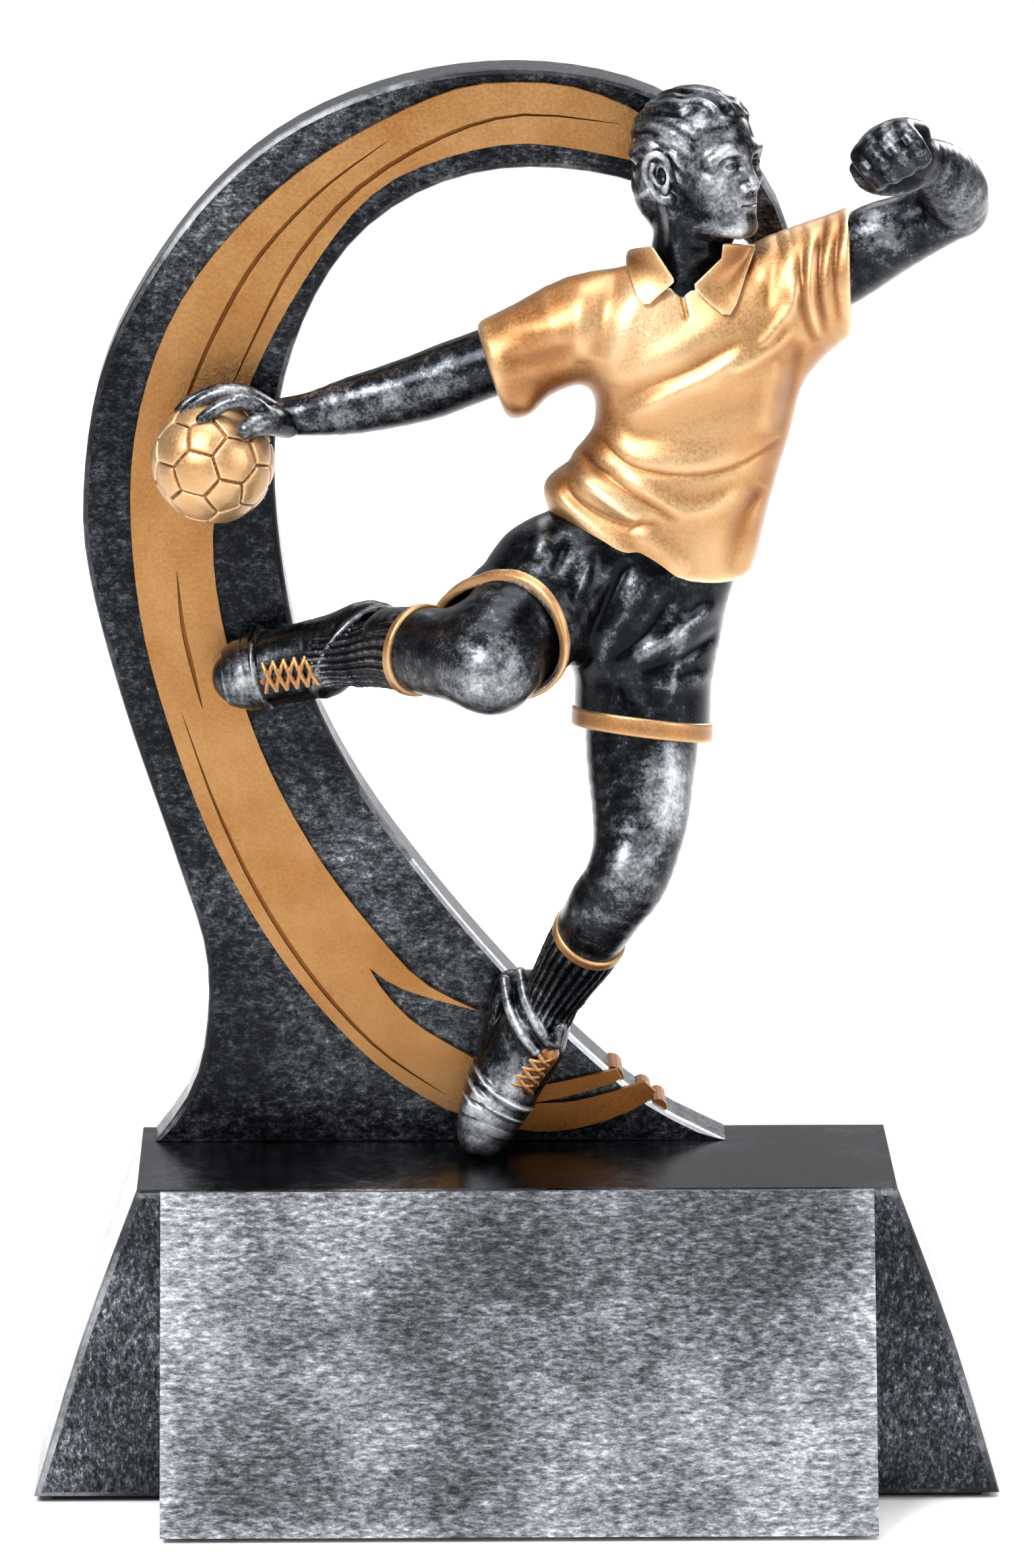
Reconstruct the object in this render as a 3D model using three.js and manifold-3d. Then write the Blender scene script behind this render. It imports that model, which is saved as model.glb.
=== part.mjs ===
// A figure trophy: a handball player in mid-throw, standing in front of an open arch on a plinth.
// The pieces are resin castings that meet at the garment edges and are held by steel dowel pins.
// Millimetres, +Z up, the viewer's side towards -Y, origin at the middle of the underside.
// The arch and the figure are laid out in a deck frame: x across, y = 0 on the arch's front face,
// z = 0 on the plinth's top.
import * as THREE from "three";
import { mergeVertices } from "three/addons/utils/BufferGeometryUtils.js";
import Module from "manifold-3d";

const wasm = await Module();
wasm.setup();

// ---- driving dimensions ---------------------------------------------------------------------------
const FELT = { thick: 0.6, inset: 2 };
const PLINTH = { height: 36, foot: 110, top: 86, depth: 30.4, bulge: 0.6, edge: 0.8 };
const PANEL = { width: 80.6, reach: 16.1, lip: 0.5, edge: 0.5 };
const ARCH = { thick: 8, edge: 0.6, boss: 2.6, bossReach: 6 };
const RIBBON = { thick: 1, groove: 0.5, grooveDeep: 0.5 };
const BALL = { at: [-34.1, -8, 81], radius: 6.9 };
const PIN = 0.8; // radius of the pins in the figure
const DOWEL = 1.5; // radius of the dowels in the arch and the panel
const TOUCH = 0.05; // gap between flat faces that meet
const FIT = 0.15; // gap between curved faces that meet
const SIDES = 16; // sides of a limb's section

const TOTAL_DEPTH = PLINTH.depth + PANEL.reach;
const BACK = TOTAL_DEPTH / 2;
const WING_FRONT = BACK - PLINTH.depth;
const DECK = new THREE.Vector3(0, BACK - ARCH.thick, FELT.thick + PLINTH.height);

// ---- materials --------------------------------------------------------------------------------------
const silver = new THREE.MeshStandardMaterial({ color: 0x4a4d52, roughness: 0.4, metalness: 0.7 });
const silverLight = new THREE.MeshStandardMaterial({ color: 0x9a9da2, roughness: 0.45, metalness: 0.7 });
const gold = new THREE.MeshStandardMaterial({ color: 0xc08a4e, roughness: 0.4, metalness: 0.8 });
const steel = new THREE.MeshStandardMaterial({ color: 0xb8b8ba, roughness: 0.3, metalness: 1 });
const felt = new THREE.MeshStandardMaterial({ color: 0x1c1c1e, roughness: 1, metalness: 0 });

// ---- solids -----------------------------------------------------------------------------------------
const v3 = (p) => new THREE.Vector3(p[0], p[1], p[2]);

// A closed three.js geometry as a solid that can be cut and joined.
function solid(geometry) {
  const bare = (geometry.index ? geometry.toNonIndexed() : geometry).clone();
  for (const name of Object.keys(bare.attributes)) {
    if (name !== "position") bare.deleteAttribute(name);
  }
  const merged = mergeVertices(bare, 1e-4);
  return new wasm.Manifold(
    new wasm.Mesh({
      numProp: 3,
      vertProperties: merged.attributes.position.array,
      triVerts: new Uint32Array(merged.index.array),
    })
  );
}

// A solid as a named mesh. Slivers that a cut leaves are dropped, so that the mesh is one body.
function node(name, made, material) {
  const bodies = made.decompose().sort((a, b) => b.volume() - a.volume());
  const mesh = bodies[0].getMesh();
  const positions = new Float32Array(mesh.numVert * 3);
  for (let i = 0; i < mesh.numVert; i++) {
    const start = i * mesh.numProp;
    positions.set(mesh.vertProperties.subarray(start, start + 3), i * 3);
  }
  const geometry = new THREE.BufferGeometry();
  geometry.setAttribute("position", new THREE.BufferAttribute(positions, 3));
  geometry.setIndex(new THREE.BufferAttribute(mesh.triVerts, 1));
  geometry.computeVertexNormals();
  const out = new THREE.Mesh(geometry, material);
  out.name = name;
  return out;
}

// A limb: a cylinder whose rings are moved to the stations [x, y, z, radius across, radius in depth].
// Each ring stands square to the line through the stations, or to normal where one is given, with
// its first radius along side.
function limb(stations, { grow = 0, side = [1, 0, 0], normal = null, sides = SIDES } = {}) {
  const rings = stations.length;
  const geometry = new THREE.CylinderGeometry(1, 1, 1, sides, rings - 1);
  const centres = stations.map(v3);
  const across = [];
  const depth = [];
  centres.forEach((centre, i) => {
    const before = centres[Math.max(i - 1, 0)];
    const after = centres[Math.min(i + 1, rings - 1)];
    const along = normal ? v3(normal).normalize() : before.clone().sub(after).normalize();
    const width = v3(side).addScaledVector(along, -v3(side).dot(along)).normalize();
    across.push(width);
    depth.push(width.clone().cross(along));
  });
  const position = geometry.attributes.position;
  for (let i = 0; i < position.count; i++) {
    const ring = Math.round((0.5 - position.getY(i)) * (rings - 1));
    const [, , , wide, deep = wide] = stations[ring];
    const isEnd = ring === 0 || ring === rings - 1;
    const out = centres[ring].clone();
    if (isEnd) {
      const next = centres[ring === 0 ? 1 : rings - 2];
      out.addScaledVector(centres[ring].clone().sub(next).normalize(), grow);
    }
    out.addScaledVector(across[ring], position.getX(i) * (wide + grow));
    out.addScaledVector(depth[ring], position.getZ(i) * (deep + grow));
    position.setXYZ(i, out.x, out.y, out.z);
  }
  return solid(geometry);
}

// An egg with three radii, at a point.
function egg(at, radii, { grow = 0, turn = 0, sides = SIDES } = {}) {
  const geometry = new THREE.SphereGeometry(1, sides, Math.round(sides * 0.6));
  geometry.rotateX(Math.PI / 2);
  geometry.scale(radii[0] + grow, radii[1] + grow, radii[2] + grow);
  geometry.rotateZ(turn);
  geometry.translate(...at);
  return solid(geometry);
}

// A straight pin between two points.
function rod(from, to, radius, grow = 0) {
  const along = v3(to).sub(v3(from));
  const geometry = new THREE.CylinderGeometry(radius + grow, radius + grow, along.length() + 2 * grow, 12);
  const turn = new THREE.Quaternion().setFromUnitVectors(
    new THREE.Vector3(0, 1, 0),
    along.clone().normalize()
  );
  const middle = v3(from).add(v3(to)).multiplyScalar(0.5);
  geometry.applyMatrix4(new THREE.Matrix4().compose(middle, turn, new THREE.Vector3(1, 1, 1)));
  return solid(geometry);
}

// A flat outline in x and z, made thick from y = front to y = back, with its edges bevelled by edge.
function slab(shape, front, back, edge = 0, steps = 1) {
  const geometry = new THREE.ExtrudeGeometry(shape, {
    depth: back - front - 2 * edge,
    bevelEnabled: edge > 0,
    bevelThickness: edge,
    bevelSize: edge,
    bevelOffset: -edge,
    bevelSegments: 2,
    curveSegments: steps,
  });
  geometry.rotateX(Math.PI / 2);
  geometry.translate(0, back - edge, 0);
  return solid(geometry);
}

// Points on smooth curves, one after the other. Where one curve ends and the next starts is a corner.
function outline(...runs) {
  const points = [];
  for (const { through, steps } of runs) {
    const curve = new THREE.SplineCurve(through.map(([x, z]) => new THREE.Vector2(x, z)));
    const made = steps ? curve.getSpacedPoints(steps) : curve.points;
    const last = points[points.length - 1];
    points.push(...(last && last.distanceTo(made[0]) < 1e-6 ? made.slice(1) : made));
  }
  if (points[0].distanceTo(points[points.length - 1]) < 1e-6) points.pop();
  if (!THREE.ShapeUtils.isClockWise(points)) points.reverse();
  return new THREE.Shape(points);
}

const join = (...solids) => solids.reduce((a, b) => a.add(b));
const cut = (body, ...tools) => tools.reduce((a, b) => a.subtract(b), body);

// ---- plinth -----------------------------------------------------------------------------------------
// A block whose ends slope and bulge a little, with a wedge-shaped name panel on its front and felt
// under both.
function plinthBlock() {
  const [low, high] = [FELT.thick + TOUCH, FELT.thick + PLINTH.height];
  const [foot, top] = [PLINTH.foot / 2, PLINTH.top / 2];
  const waist = [(foot + top) / 2 + PLINTH.bulge, (low + high) / 2];
  const shape = outline(
    { through: [[-foot, low], [-waist[0], waist[1]], [-top, high]], steps: 6 },
    { through: [[top, high], waist, [foot, low]], steps: 6 }
  );
  return slab(shape, WING_FRONT, BACK, PLINTH.edge);
}

// The wedge is an outline in y and z, run across the front.
function namePanel() {
  const [low, high] = [FELT.thick + TOUCH, FELT.thick + PLINTH.height];
  const back = WING_FRONT - TOUCH;
  const shape = new THREE.Shape([
    new THREE.Vector2(back, low),
    new THREE.Vector2(back - PANEL.reach + TOUCH, low),
    new THREE.Vector2(back - PANEL.lip, high),
    new THREE.Vector2(back, high),
  ]);
  const geometry = new THREE.ExtrudeGeometry(shape, { depth: PANEL.width, bevelEnabled: false });
  geometry.rotateX(Math.PI / 2);
  geometry.rotateZ(Math.PI / 2);
  geometry.translate(-PANEL.width / 2, 0, 0);
  return solid(geometry);
}

function feltSheet() {
  const inset = FELT.inset;
  const [wing, panel] = [PLINTH.foot / 2 - inset, PANEL.width / 2 - inset];
  const shape = new THREE.Shape([
    new THREE.Vector2(-wing, BACK - inset),
    new THREE.Vector2(-wing, WING_FRONT + inset),
    new THREE.Vector2(-panel, WING_FRONT + inset),
    new THREE.Vector2(-panel, -BACK + inset),
    new THREE.Vector2(panel, -BACK + inset),
    new THREE.Vector2(panel, WING_FRONT + inset),
    new THREE.Vector2(wing, WING_FRONT + inset),
    new THREE.Vector2(wing, BACK - inset),
  ]);
  return solid(new THREE.ExtrudeGeometry(shape, { depth: FELT.thick, bevelEnabled: false }));
}

// ---- arch and ribbon, in the deck frame -----------------------------------------------------------
// The arch rises from a flared foot on the left, goes over the top and ends in a tip behind the
// figure's left shoulder. Its inner edge runs back down a slope to the deck on the right.
const ARCH_OUTER = [
  [-41.5, 0], [-37.6, 5.5], [-35.6, 12], [-35.4, 22], [-38.6, 33], [-44.5, 51], [-48.3, 66],
  [-49, 76], [-47.2, 88.5], [-42.6, 99], [-34.6, 110], [-24.7, 118], [-12, 123], [1.4, 124.4],
  [14, 122.2], [24, 116.4], [29.4, 109.8], [31.6, 103], [31.4, 96.5],
];
const ARCH_INNER = [
  [29.2, 95.2], [28.2, 101], [25, 105.8], [17, 110.2], [8, 112.7], [-2, 112.9], [-11, 110.2],
  [-18.6, 104.4], [-24, 95.4], [-27, 84], [-26.8, 71], [-24, 55.6], [-18.6, 43.6], [-10, 31.2],
  [1, 18.2], [10.6, 8.8], [16.5, 4.1], [24.5, 0],
];
// Where the strands run over the slope's edge, they show on it as three low humps.
const STRAND_HUMPS = [[11.3, 7.4, 1.3], [14.8, 5, 1.1], [16.6, 3.8, 1]];
const BOSS_AT = [28.6, 97.6];

function archBody() {
  const shape = outline(
    { through: ARCH_OUTER, steps: 64 },
    { through: [ARCH_OUTER.at(-1), [30.4, 94.6], ARCH_INNER[0]], steps: 4 },
    { through: ARCH_INNER, steps: 56 }
  );
  const humps = STRAND_HUMPS.map(([x, z, radius]) =>
    rod([x, ARCH.edge, z], [x, ARCH.thick - ARCH.edge, z], radius)
  );
  const boss = rod([BOSS_AT[0], 1, BOSS_AT[1]], [BOSS_AT[0], -ARCH.bossReach, BOSS_AT[1]], ARCH.boss);
  return join(slab(shape, 0, ARCH.thick, ARCH.edge), ...humps, boss);
}

const RIBBON_OUTER = [
  [23, 111.4], [16, 118.2], [8, 122], [0, 122.9], [-8, 121.7], [-19.8, 115.9], [-29, 108.8],
  [-36.9, 99.4], [-41.6, 89], [-43.6, 77], [-42.6, 62], [-39.2, 48.4], [-34, 34.6], [-26.1, 21],
  [-17, 10.4], [-8.5, 4.4], [-1.5, 2],
];
const RIBBON_INNER = [
  [-1.5, 8.2], [-5.6, 10.6], [-11.4, 14.2], [-15, 18], [-16.7, 20.8],
];
const RIBBON_FORK = [[-16.7, 20.8], [-13.6, 18.6], [-9, 17], [-4.2, 15.7]];
const RIBBON_INSIDE = [
  [-4.2, 15.7], [-8.6, 17.9], [-12.6, 21], [-21.7, 32.6], [-28.4, 45], [-32.6, 58], [-34.3, 70],
  [-32.8, 80], [-29.4, 90], [-24, 100.1], [-17.4, 109], [-10.6, 113.4], [0, 116], [11, 114.6], [23, 111.4],
];
// Grooves in the ribbon, each a thin crescent along a curve.
const GROOVES = {
  inner: [[12, 118.2], [1, 119.3], [-8, 116.9], [-17.4, 111.2], [-24.4, 103.4], [-29, 95], [-32.8, 86.6]],
  outer: [[-14.2, 116.4], [-22, 110.6], [-28.9, 103.2], [-33.6, 95.2], [-37, 87.4], [-39.4, 80.4]],
  below: [[-38.4, 67.2], [-37.8, 61], [-36.6, 55.4], [-35.6, 51.2]],
  long: [[-38, 50.8], [-34, 39.4], [-29, 28.8], [-22.8, 19.2], [-15.6, 11.2], [-8, 5.8]],
};

// A groove's plan: out along one side of the curve and back along the other, widest in the middle.
function crescent(through, width, steps) {
  const curve = new THREE.SplineCurve(through.map(([x, z]) => new THREE.Vector2(x, z)));
  const side = (sign) =>
    Array.from({ length: steps + 1 }, (_, i) => {
      const t = i / steps;
      const along = curve.getTangent(t);
      const half = (width / 2) * Math.sin(Math.PI * t) + 0.02;
      return curve.getPoint(t).add(new THREE.Vector2(-along.y, along.x).multiplyScalar(sign * half));
    });
  const points = [...side(1), ...side(-1).reverse()];
  if (!THREE.ShapeUtils.isClockWise(points)) points.reverse();
  return new THREE.Shape(points);
}

function ribbonBand() {
  const band = outline(
    { through: RIBBON_OUTER, steps: 56 },
    { through: RIBBON_INNER, steps: 8 },
    { through: RIBBON_FORK, steps: 6 },
    { through: RIBBON_INSIDE, steps: 48 }
  );
  const floor = -RIBBON.thick + RIBBON.grooveDeep;
  const grooves = Object.values(GROOVES).map((through) =>
    slab(crescent(through, RIBBON.groove, 18), -RIBBON.thick - 1, floor)
  );
  return cut(slab(band, -RIBBON.thick, -TOUCH), ...grooves);
}

// The two strands that come out from behind the standing shoe.
const HEEL_STRAND = {
  top: [[-0.6, 6.4], [4, 7], [8.6, 8], [11.8, 8.7]],
  bottom: [[11.8, 8.7], [12, 7.4], [7, 5.8], [3, 4.9], [-0.6, 4.6]],
};
const TOE_STRAND = {
  top: [[-0.9, 3.4], [1.6, 4.6], [6.4, 4.9], [11, 6], [15, 7.2]],
  bottom: [[15, 7.2], [16.2, 5.6], [12.4, 3.4], [7, 1.7], [2, 1.4], [-0.9, 2.2]],
};
const strand = ({ top, bottom }) =>
  slab(outline({ through: top, steps: 12 }, { through: bottom, steps: 12 }), -RIBBON.thick, -TOUCH);

// ---- figure castings, in the deck frame -------------------------------------------------------------
// Left and right are the player's own, so the right arm holds the ball on the viewer's left.
const HEAD_TURN = THREE.MathUtils.degToRad(60); // the face looks this far from the viewer towards +X

const NECK = [[19.6, -11.8, 110, 4], [19.2, -11.8, 106, 3.9], [18.8, -11.8, 102, 4.2], [18.6, -11.8, 98, 4.6]];
function head(grow = 0) {
  const facing = (forward, out, up) => [
    20 + forward * Math.sin(HEAD_TURN) + out * Math.cos(HEAD_TURN),
    -12 - forward * Math.cos(HEAD_TURN) + out * Math.sin(HEAD_TURN),
    up,
  ];
  const turned = { grow, turn: HEAD_TURN };
  return join(
    egg(facing(-0.6, 0, 117), [6.7, 8, 7.6], { ...turned, sides: 20 }),
    egg(facing(1.6, 0, 112.6), [5.4, 5.6, 5.6], turned),
    egg(facing(7.4, 0, 113.6), [0.9, 1.2, 1.5], { ...turned, sides: 8 }),
    egg(facing(-0.4, -6.4, 113.8), [0.9, 1.4, 2.1], { ...turned, sides: 8 }),
    egg(facing(-0.4, 6.4, 113.8), [0.9, 1.4, 2.1], { ...turned, sides: 8 }),
    limb(NECK, { grow })
  );
}

const TORSO = [
  [14.8, -11.8, 72, 11.4, 8], [16.8, -11.6, 79, 12.2, 7.9], [19.4, -11.2, 85.6, 10.8, 7.4],
  [20.2, -11, 92, 11.6, 7.8], [20.4, -11, 97, 11.6, 7.6], [19.6, -11.2, 101, 10, 6.4], [18.8, -11.6, 104, 6.8, 5],
];
const RIGHT_SLEEVE = [
  [12, -11, 97.6, 6.2, 6], [6, -10.7, 96.2, 5.8, 5.8], [1.2, -10, 93.8, 5.5, 5.5], [-2, -9.5, 91.9, 5.6, 5.5],
];
const LEFT_SLEEVE = [
  [26.6, -11.2, 97.6, 6.4, 6], [31, -11.4, 100.2, 7.2, 6.2], [34.4, -11.7, 102.2, 6.8, 6.1], [37.4, -12, 103.6, 6.5, 6],
];
const LEFT_CUFF_FACES = [-1, 0.1, -0.05];
function shirt(grow = 0) {
  const upright = { grow, side: [0, 0, 1] };
  return join(
    limb(TORSO, { grow, sides: 20 }),
    limb(RIGHT_SLEEVE, upright),
    limb(LEFT_SLEEVE, { ...upright, normal: LEFT_CUFF_FACES })
  );
}

// The collar is a band that leans out round the neck, with its two points at the front.
function collar(grow = 0) {
  const profile = [[4.6, 4.2], [5.4, 4.4], [7.4, -0.4], [6.6, -1], [4.6, 4.2]];
  const ring = new THREE.LatheGeometry(
    profile.map(([r, z]) => new THREE.Vector2(r + Math.sign(r - 5.6) * grow, z)).reverse(),
    20
  );
  ring.rotateX(Math.PI / 2);
  ring.rotateX(0.22);
  ring.translate(18.8, -12, 101.8);
  return solid(ring);
}
function collarNotch() {
  const shape = new THREE.Shape([
    new THREE.Vector2(18.4, 99.6), new THREE.Vector2(16.2, 108), new THREE.Vector2(21.4, 108),
  ]);
  return slab(shape, -24, -13);
}

const RIGHT_ARM = [
  [3.4, -10.4, 94.9, 3.6], [-2.4, -9.5, 92, 4.1], [-10.5, -8.6, 89.2, 4.1], [-20.1, -7.8, 87, 3.1], [-26, -7.2, 85.6, 2.2],
];
const rightArm = (grow = 0) => limb(RIGHT_ARM, { grow });

const RIGHT_PALM = [
  [-25, -7.3, 85.9, 2.1, 2], [-28.3, -7, 87, 2.9, 2], [-31.6, -7, 88.6, 3, 1.6], [-35, -7.4, 88.8, 2.8, 1.5],
  [-37, -8.2, 87.4, 2, 1.2],
];
const RIGHT_THUMB = [[-27.6, -9, 86.4, 1.6], [-29.8, -12.4, 86.4, 1.4], [-31.6, -14, 85, 1.1]];
function rightHand(grow = 0) {
  return join(limb(RIGHT_PALM, { grow, side: [0, 1, 0] }), limb(RIGHT_THUMB, { grow, sides: 10 }));
}
const ball = (grow = 0) => egg(BALL.at, [BALL.radius, BALL.radius, BALL.radius], { grow, sides: 22 });

const LEFT_UPPER = [[32, -11.5, 101.2, 3.8], [37.4, -12, 104.6, 4.3], [43.3, -13.5, 107.7, 3.9], [49, -15.4, 110.8, 3.7]];
const LEFT_FOREARM = [[49.2, -15.4, 111.2, 3.6], [47.4, -19.2, 114.4, 3.5], [44.8, -22.8, 117, 2.9]];
const ELBOW = [49.1, -15.4, 111];
function leftArm(grow = 0) {
  return join(
    limb(LEFT_UPPER, { grow, side: [0, 0, 1] }),
    limb(LEFT_FOREARM, { grow, side: [0, 0, 1] }),
    egg(ELBOW, [3.7, 3.7, 3.7], { grow })
  );
}
const LEFT_FIST = [
  [44.9, -23, 117, 2.8], [43.4, -24.6, 117.6, 3.9], [41.4, -26, 118, 4.3], [39, -27.2, 118.6, 4.1], [37.2, -28, 119.1, 2.7],
];
const leftFist = (grow = 0) => limb(LEFT_FIST, { grow, side: [0, 0, 1] });

const PELVIS = [[15.2, -11.6, 76, 9.6, 6.4], [14.2, -11.8, 71, 10.2, 6.9], [13.6, -12, 66, 10, 7.2], [14, -12.2, 60, 8, 6.8]];
const SHORTS_LEFT_LEG = [[14.6, -12.4, 64, 8, 7.2], [14.3, -12.8, 57.4, 7.6, 7.2], [14.2, -13.4, 51.6, 7.8, 7.4]];
const SHORTS_RIGHT_LEG = [[8.4, -13, 69, 8.2, 7], [4, -16.8, 66.6, 7.6, 7.2], [-0.2, -20.6, 63.7, 7.4, 7.3]];
function shorts(grow = 0) {
  return join(
    limb(PELVIS, { grow, sides: 20 }),
    limb(SHORTS_LEFT_LEG, { grow }),
    limb(SHORTS_RIGHT_LEG, { grow, side: [0, 0, 1] })
  );
}
const rightHemBand = () => limb([[0.7, -19.8, 64.3, 7.9], [-1, -21.3, 63.1, 7.9]], { side: [0, 0, 1] });
const leftHemBand = () => limb([[14.3, -13.2, 53.3, 8.2, 7.8], [14.2, -13.4, 50.9, 8.3, 7.9]]);

const KNEE = [-3.1, -25.2, 60.6];
const RIGHT_THIGH = [[3.6, -17.4, 65.8, 4.6], [-0.4, -21.6, 63, 5.8], [-3, -24.8, 60.8, 5]];
const RIGHT_SHIN = [[-3.2, -25, 60.6, 4.9], [-7, -21, 61, 5], [-11.4, -16.4, 61, 4.7], [-13.6, -14, 60.9, 4]];
function rightLeg(grow = 0) {
  return join(limb(RIGHT_THIGH, { grow }), limb(RIGHT_SHIN, { grow }), egg(KNEE, [5, 5, 5], { grow }));
}
const LEFT_LEG = [
  [14.6, -12.7, 57.6, 5.4], [14.2, -13.6, 52, 6.3], [14, -15, 48, 6.1], [13.8, -17, 42, 5.3], [13.2, -18.8, 37.2, 4.9],
  [12, -19.2, 34.4, 4.7], [10.4, -17.9, 32, 4.4], [8.9, -15.8, 29.2, 4.1], [7.9, -14, 27, 3.6],
];
const leftLeg = (grow = 0) => limb(LEFT_LEG, { grow });

const RIGHT_SOCK = [[-11.2, -16.6, 60.9, 5.1], [-16.4, -11.4, 61, 4.7], [-21, -8, 59.1, 3.8], [-23, -7, 58.3, 3.3]];
const LEFT_SOCK = [[8.9, -15.5, 28.9, 4.5], [7.5, -12.9, 25.4, 4.3], [5.6, -10, 21.4, 3.9], [3.7, -7.4, 17.4, 3.8]];
const rightSock = (grow = 0) => limb(RIGHT_SOCK, { grow, side: [0, 0, 1] });
const leftSock = (grow = 0) => limb(LEFT_SOCK, { grow });
const rightSockBand = () => limb([[-10.4, -17.5, 60.9, 5.4], [-11.4, -16.4, 61, 5.5]], { side: [0, 0, 1] });
const leftSockBand = () => limb([[9.1, -15.8, 29.2, 4.8], [8.6, -14.9, 28.1, 4.9]]);

const RIGHT_SHOE = [
  [-19.6, -8.6, 59.4, 4], [-22.4, -7, 58.4, 4.4], [-26.4, -5.9, 57, 4.2], [-30.4, -5.3, 55.9, 4], [-33.4, -4.9, 55.1, 2.2],
];
const LEFT_SHOE = [
  [4.2, -6.6, 18.6, 4.2], [1.5, -5.9, 13.2, 4.3], [-0.8, -5.6, 9.1, 4], [-3, -5.6, 4.4, 3.3], [-4, -5.9, 1.5, 1.9],
];
const LEFT_HEEL = [[3.6, -5, 18, 3.2], [-0.3, -2.7, 19.2, 2.4]];
const rightShoe = (grow = 0) => limb(RIGHT_SHOE, { grow, side: [0, 0, 1] });
const leftShoe = (grow = 0) => join(limb(LEFT_SHOE, { grow }), limb(LEFT_HEEL, { grow }));
const rightLaces = () =>
  limb([[-22.6, -10.9, 57, 1.1, 1.8], [-28.4, -9.4, 55.2, 1.1, 1.8]], { side: [0, -0.95, -0.3], sides: 10 });
const leftLaces = () =>
  limb([[3.8, -9.6, 12.6, 1.2, 1.7], [0.6, -9.1, 6.6, 1.2, 1.7]], { side: [0.7, -0.7, 0], sides: 10 });

// ---- pins -------------------------------------------------------------------------------------------
// Each runs from one casting into the next, in the deck frame.
const PINS = {
  neck_pin: [[18.9, -11.8, 104], [18.9, -11.4, 93], PIN],
  right_shoulder_pin: [[-4, -9.3, 91.4], [7, -10.6, 96.4], PIN],
  left_shoulder_pin: [[40, -12.7, 106], [30.6, -11.5, 100.4], PIN],
  waist_pin: [[14.2, -12, 67], [16.8, -11.6, 81], PIN],
  right_hip_pin: [[0.4, -20.6, 63.6], [8.4, -13.4, 68.6], PIN],
  left_hip_pin: [[14.3, -13.4, 53], [14.3, -12.4, 64], PIN],
  right_sock_pin: [[-9.6, -18.2, 60.9], [-16.4, -11.4, 60.8], PIN],
  left_sock_pin: [[9.4, -16, 29], [6.4, -11, 22.4], PIN],
  right_shoe_pin: [[-19.4, -9.2, 59.8], [-26.4, -6, 57.1], PIN],
  left_shoe_pin: [[4.7, -8.4, 19], [0.9, -5.8, 12], PIN],
  right_wrist_pin: [[-23, -7.6, 86.4], [-28.6, -7, 87.2], PIN / 2],
  left_wrist_pin: [[46, -21.4, 116], [41.8, -25.8, 117.9], PIN],
  ball_pin: [[-34.1, -10, 81], [-34.1, 5, 81], PIN],
  right_toe_pin: [[-30, -6, 56], [-30, 5, 56], PIN],
  left_toe_pin: [[-3.4, -5.7, 5.4], [-3.4, -5.7, -8], PIN],
  shoulder_arch_pin: [[28.6, -9.4, 97.6], [28.6, 5, 97.6], PIN],
  arch_dowel_left: [[-29, 4, 9], [-29, 4, -12], DOWEL],
  arch_dowel_right: [[2, 4, 9], [2, 4, -12], DOWEL],
  panel_dowel_left: [[-26, -28.4, -23], [-26, -14.4, -23], DOWEL],
  panel_dowel_right: [[26, -28.4, -23], [26, -14.4, -23], DOWEL],
};
const bores = Object.values(PINS).map(([from, to, radius]) => rod(from, to, radius, FIT));
const bored = (body) => cut(body, ...bores);

// ---- assembly ---------------------------------------------------------------------------------------
const onDeck = new THREE.Group();
onDeck.position.copy(DECK);
const addOnDeck = (name, body, material) => onDeck.add(node(name, bored(body), material));

addOnDeck("head", head(), silver);
addOnDeck("collar", cut(collar(), collarNotch(), head(FIT), shirt(FIT)), gold);
addOnDeck("shirt", cut(shirt(), head(FIT), rightArm(FIT), leftArm(FIT), shorts(FIT)), gold);
addOnDeck("right_arm", rightArm(), silver);
addOnDeck("right_hand", cut(rightHand(), rightArm(FIT), ball(FIT)), silver);
addOnDeck("ball", ball(), gold);
addOnDeck("left_arm", leftArm(), silver);
addOnDeck("left_fist", cut(leftFist(), leftArm(FIT)), silver);
addOnDeck("shorts", cut(shorts(), rightLeg(FIT), leftLeg(FIT)), silver);
addOnDeck("right_hem_band", cut(rightHemBand(), shorts(FIT), rightLeg(FIT)), gold);
addOnDeck("left_hem_band", cut(leftHemBand(), shorts(FIT), leftLeg(FIT)), gold);
addOnDeck("right_leg", rightLeg(), silver);
addOnDeck("left_leg", leftLeg(), silver);
addOnDeck("right_sock", cut(rightSock(), rightLeg(FIT), rightShoe(FIT)), silver);
addOnDeck("left_sock", cut(leftSock(), leftLeg(FIT), leftShoe(FIT)), silver);
addOnDeck("right_sock_band", cut(rightSockBand(), rightSock(FIT), rightLeg(FIT)), gold);
addOnDeck("left_sock_band", cut(leftSockBand(), leftSock(FIT), leftLeg(FIT)), gold);
addOnDeck("right_shoe", rightShoe(), silver);
addOnDeck("left_shoe", leftShoe(), silver);
addOnDeck("right_laces", cut(rightLaces(), rightShoe(FIT)), gold);
addOnDeck("left_laces", cut(leftLaces(), leftShoe(FIT)), gold);
addOnDeck("ribbon", cut(ribbonBand(), ball(FIT), rightHand(FIT), rightShoe(FIT), leftShoe(FIT)), gold);
addOnDeck("ribbon_heel_strand", cut(strand(HEEL_STRAND), leftShoe(FIT)), gold);
addOnDeck("ribbon_toe_strand", cut(strand(TOE_STRAND), leftShoe(FIT)), gold);
addOnDeck("arch", cut(archBody(), shirt(FIT), leftShoe(FIT)).trimByPlane([0, 0, 1], TOUCH), silver);
for (const [name, [from, to, radius]] of Object.entries(PINS)) {
  onDeck.add(node(name, rod(from, to, radius), steel));
}

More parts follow.
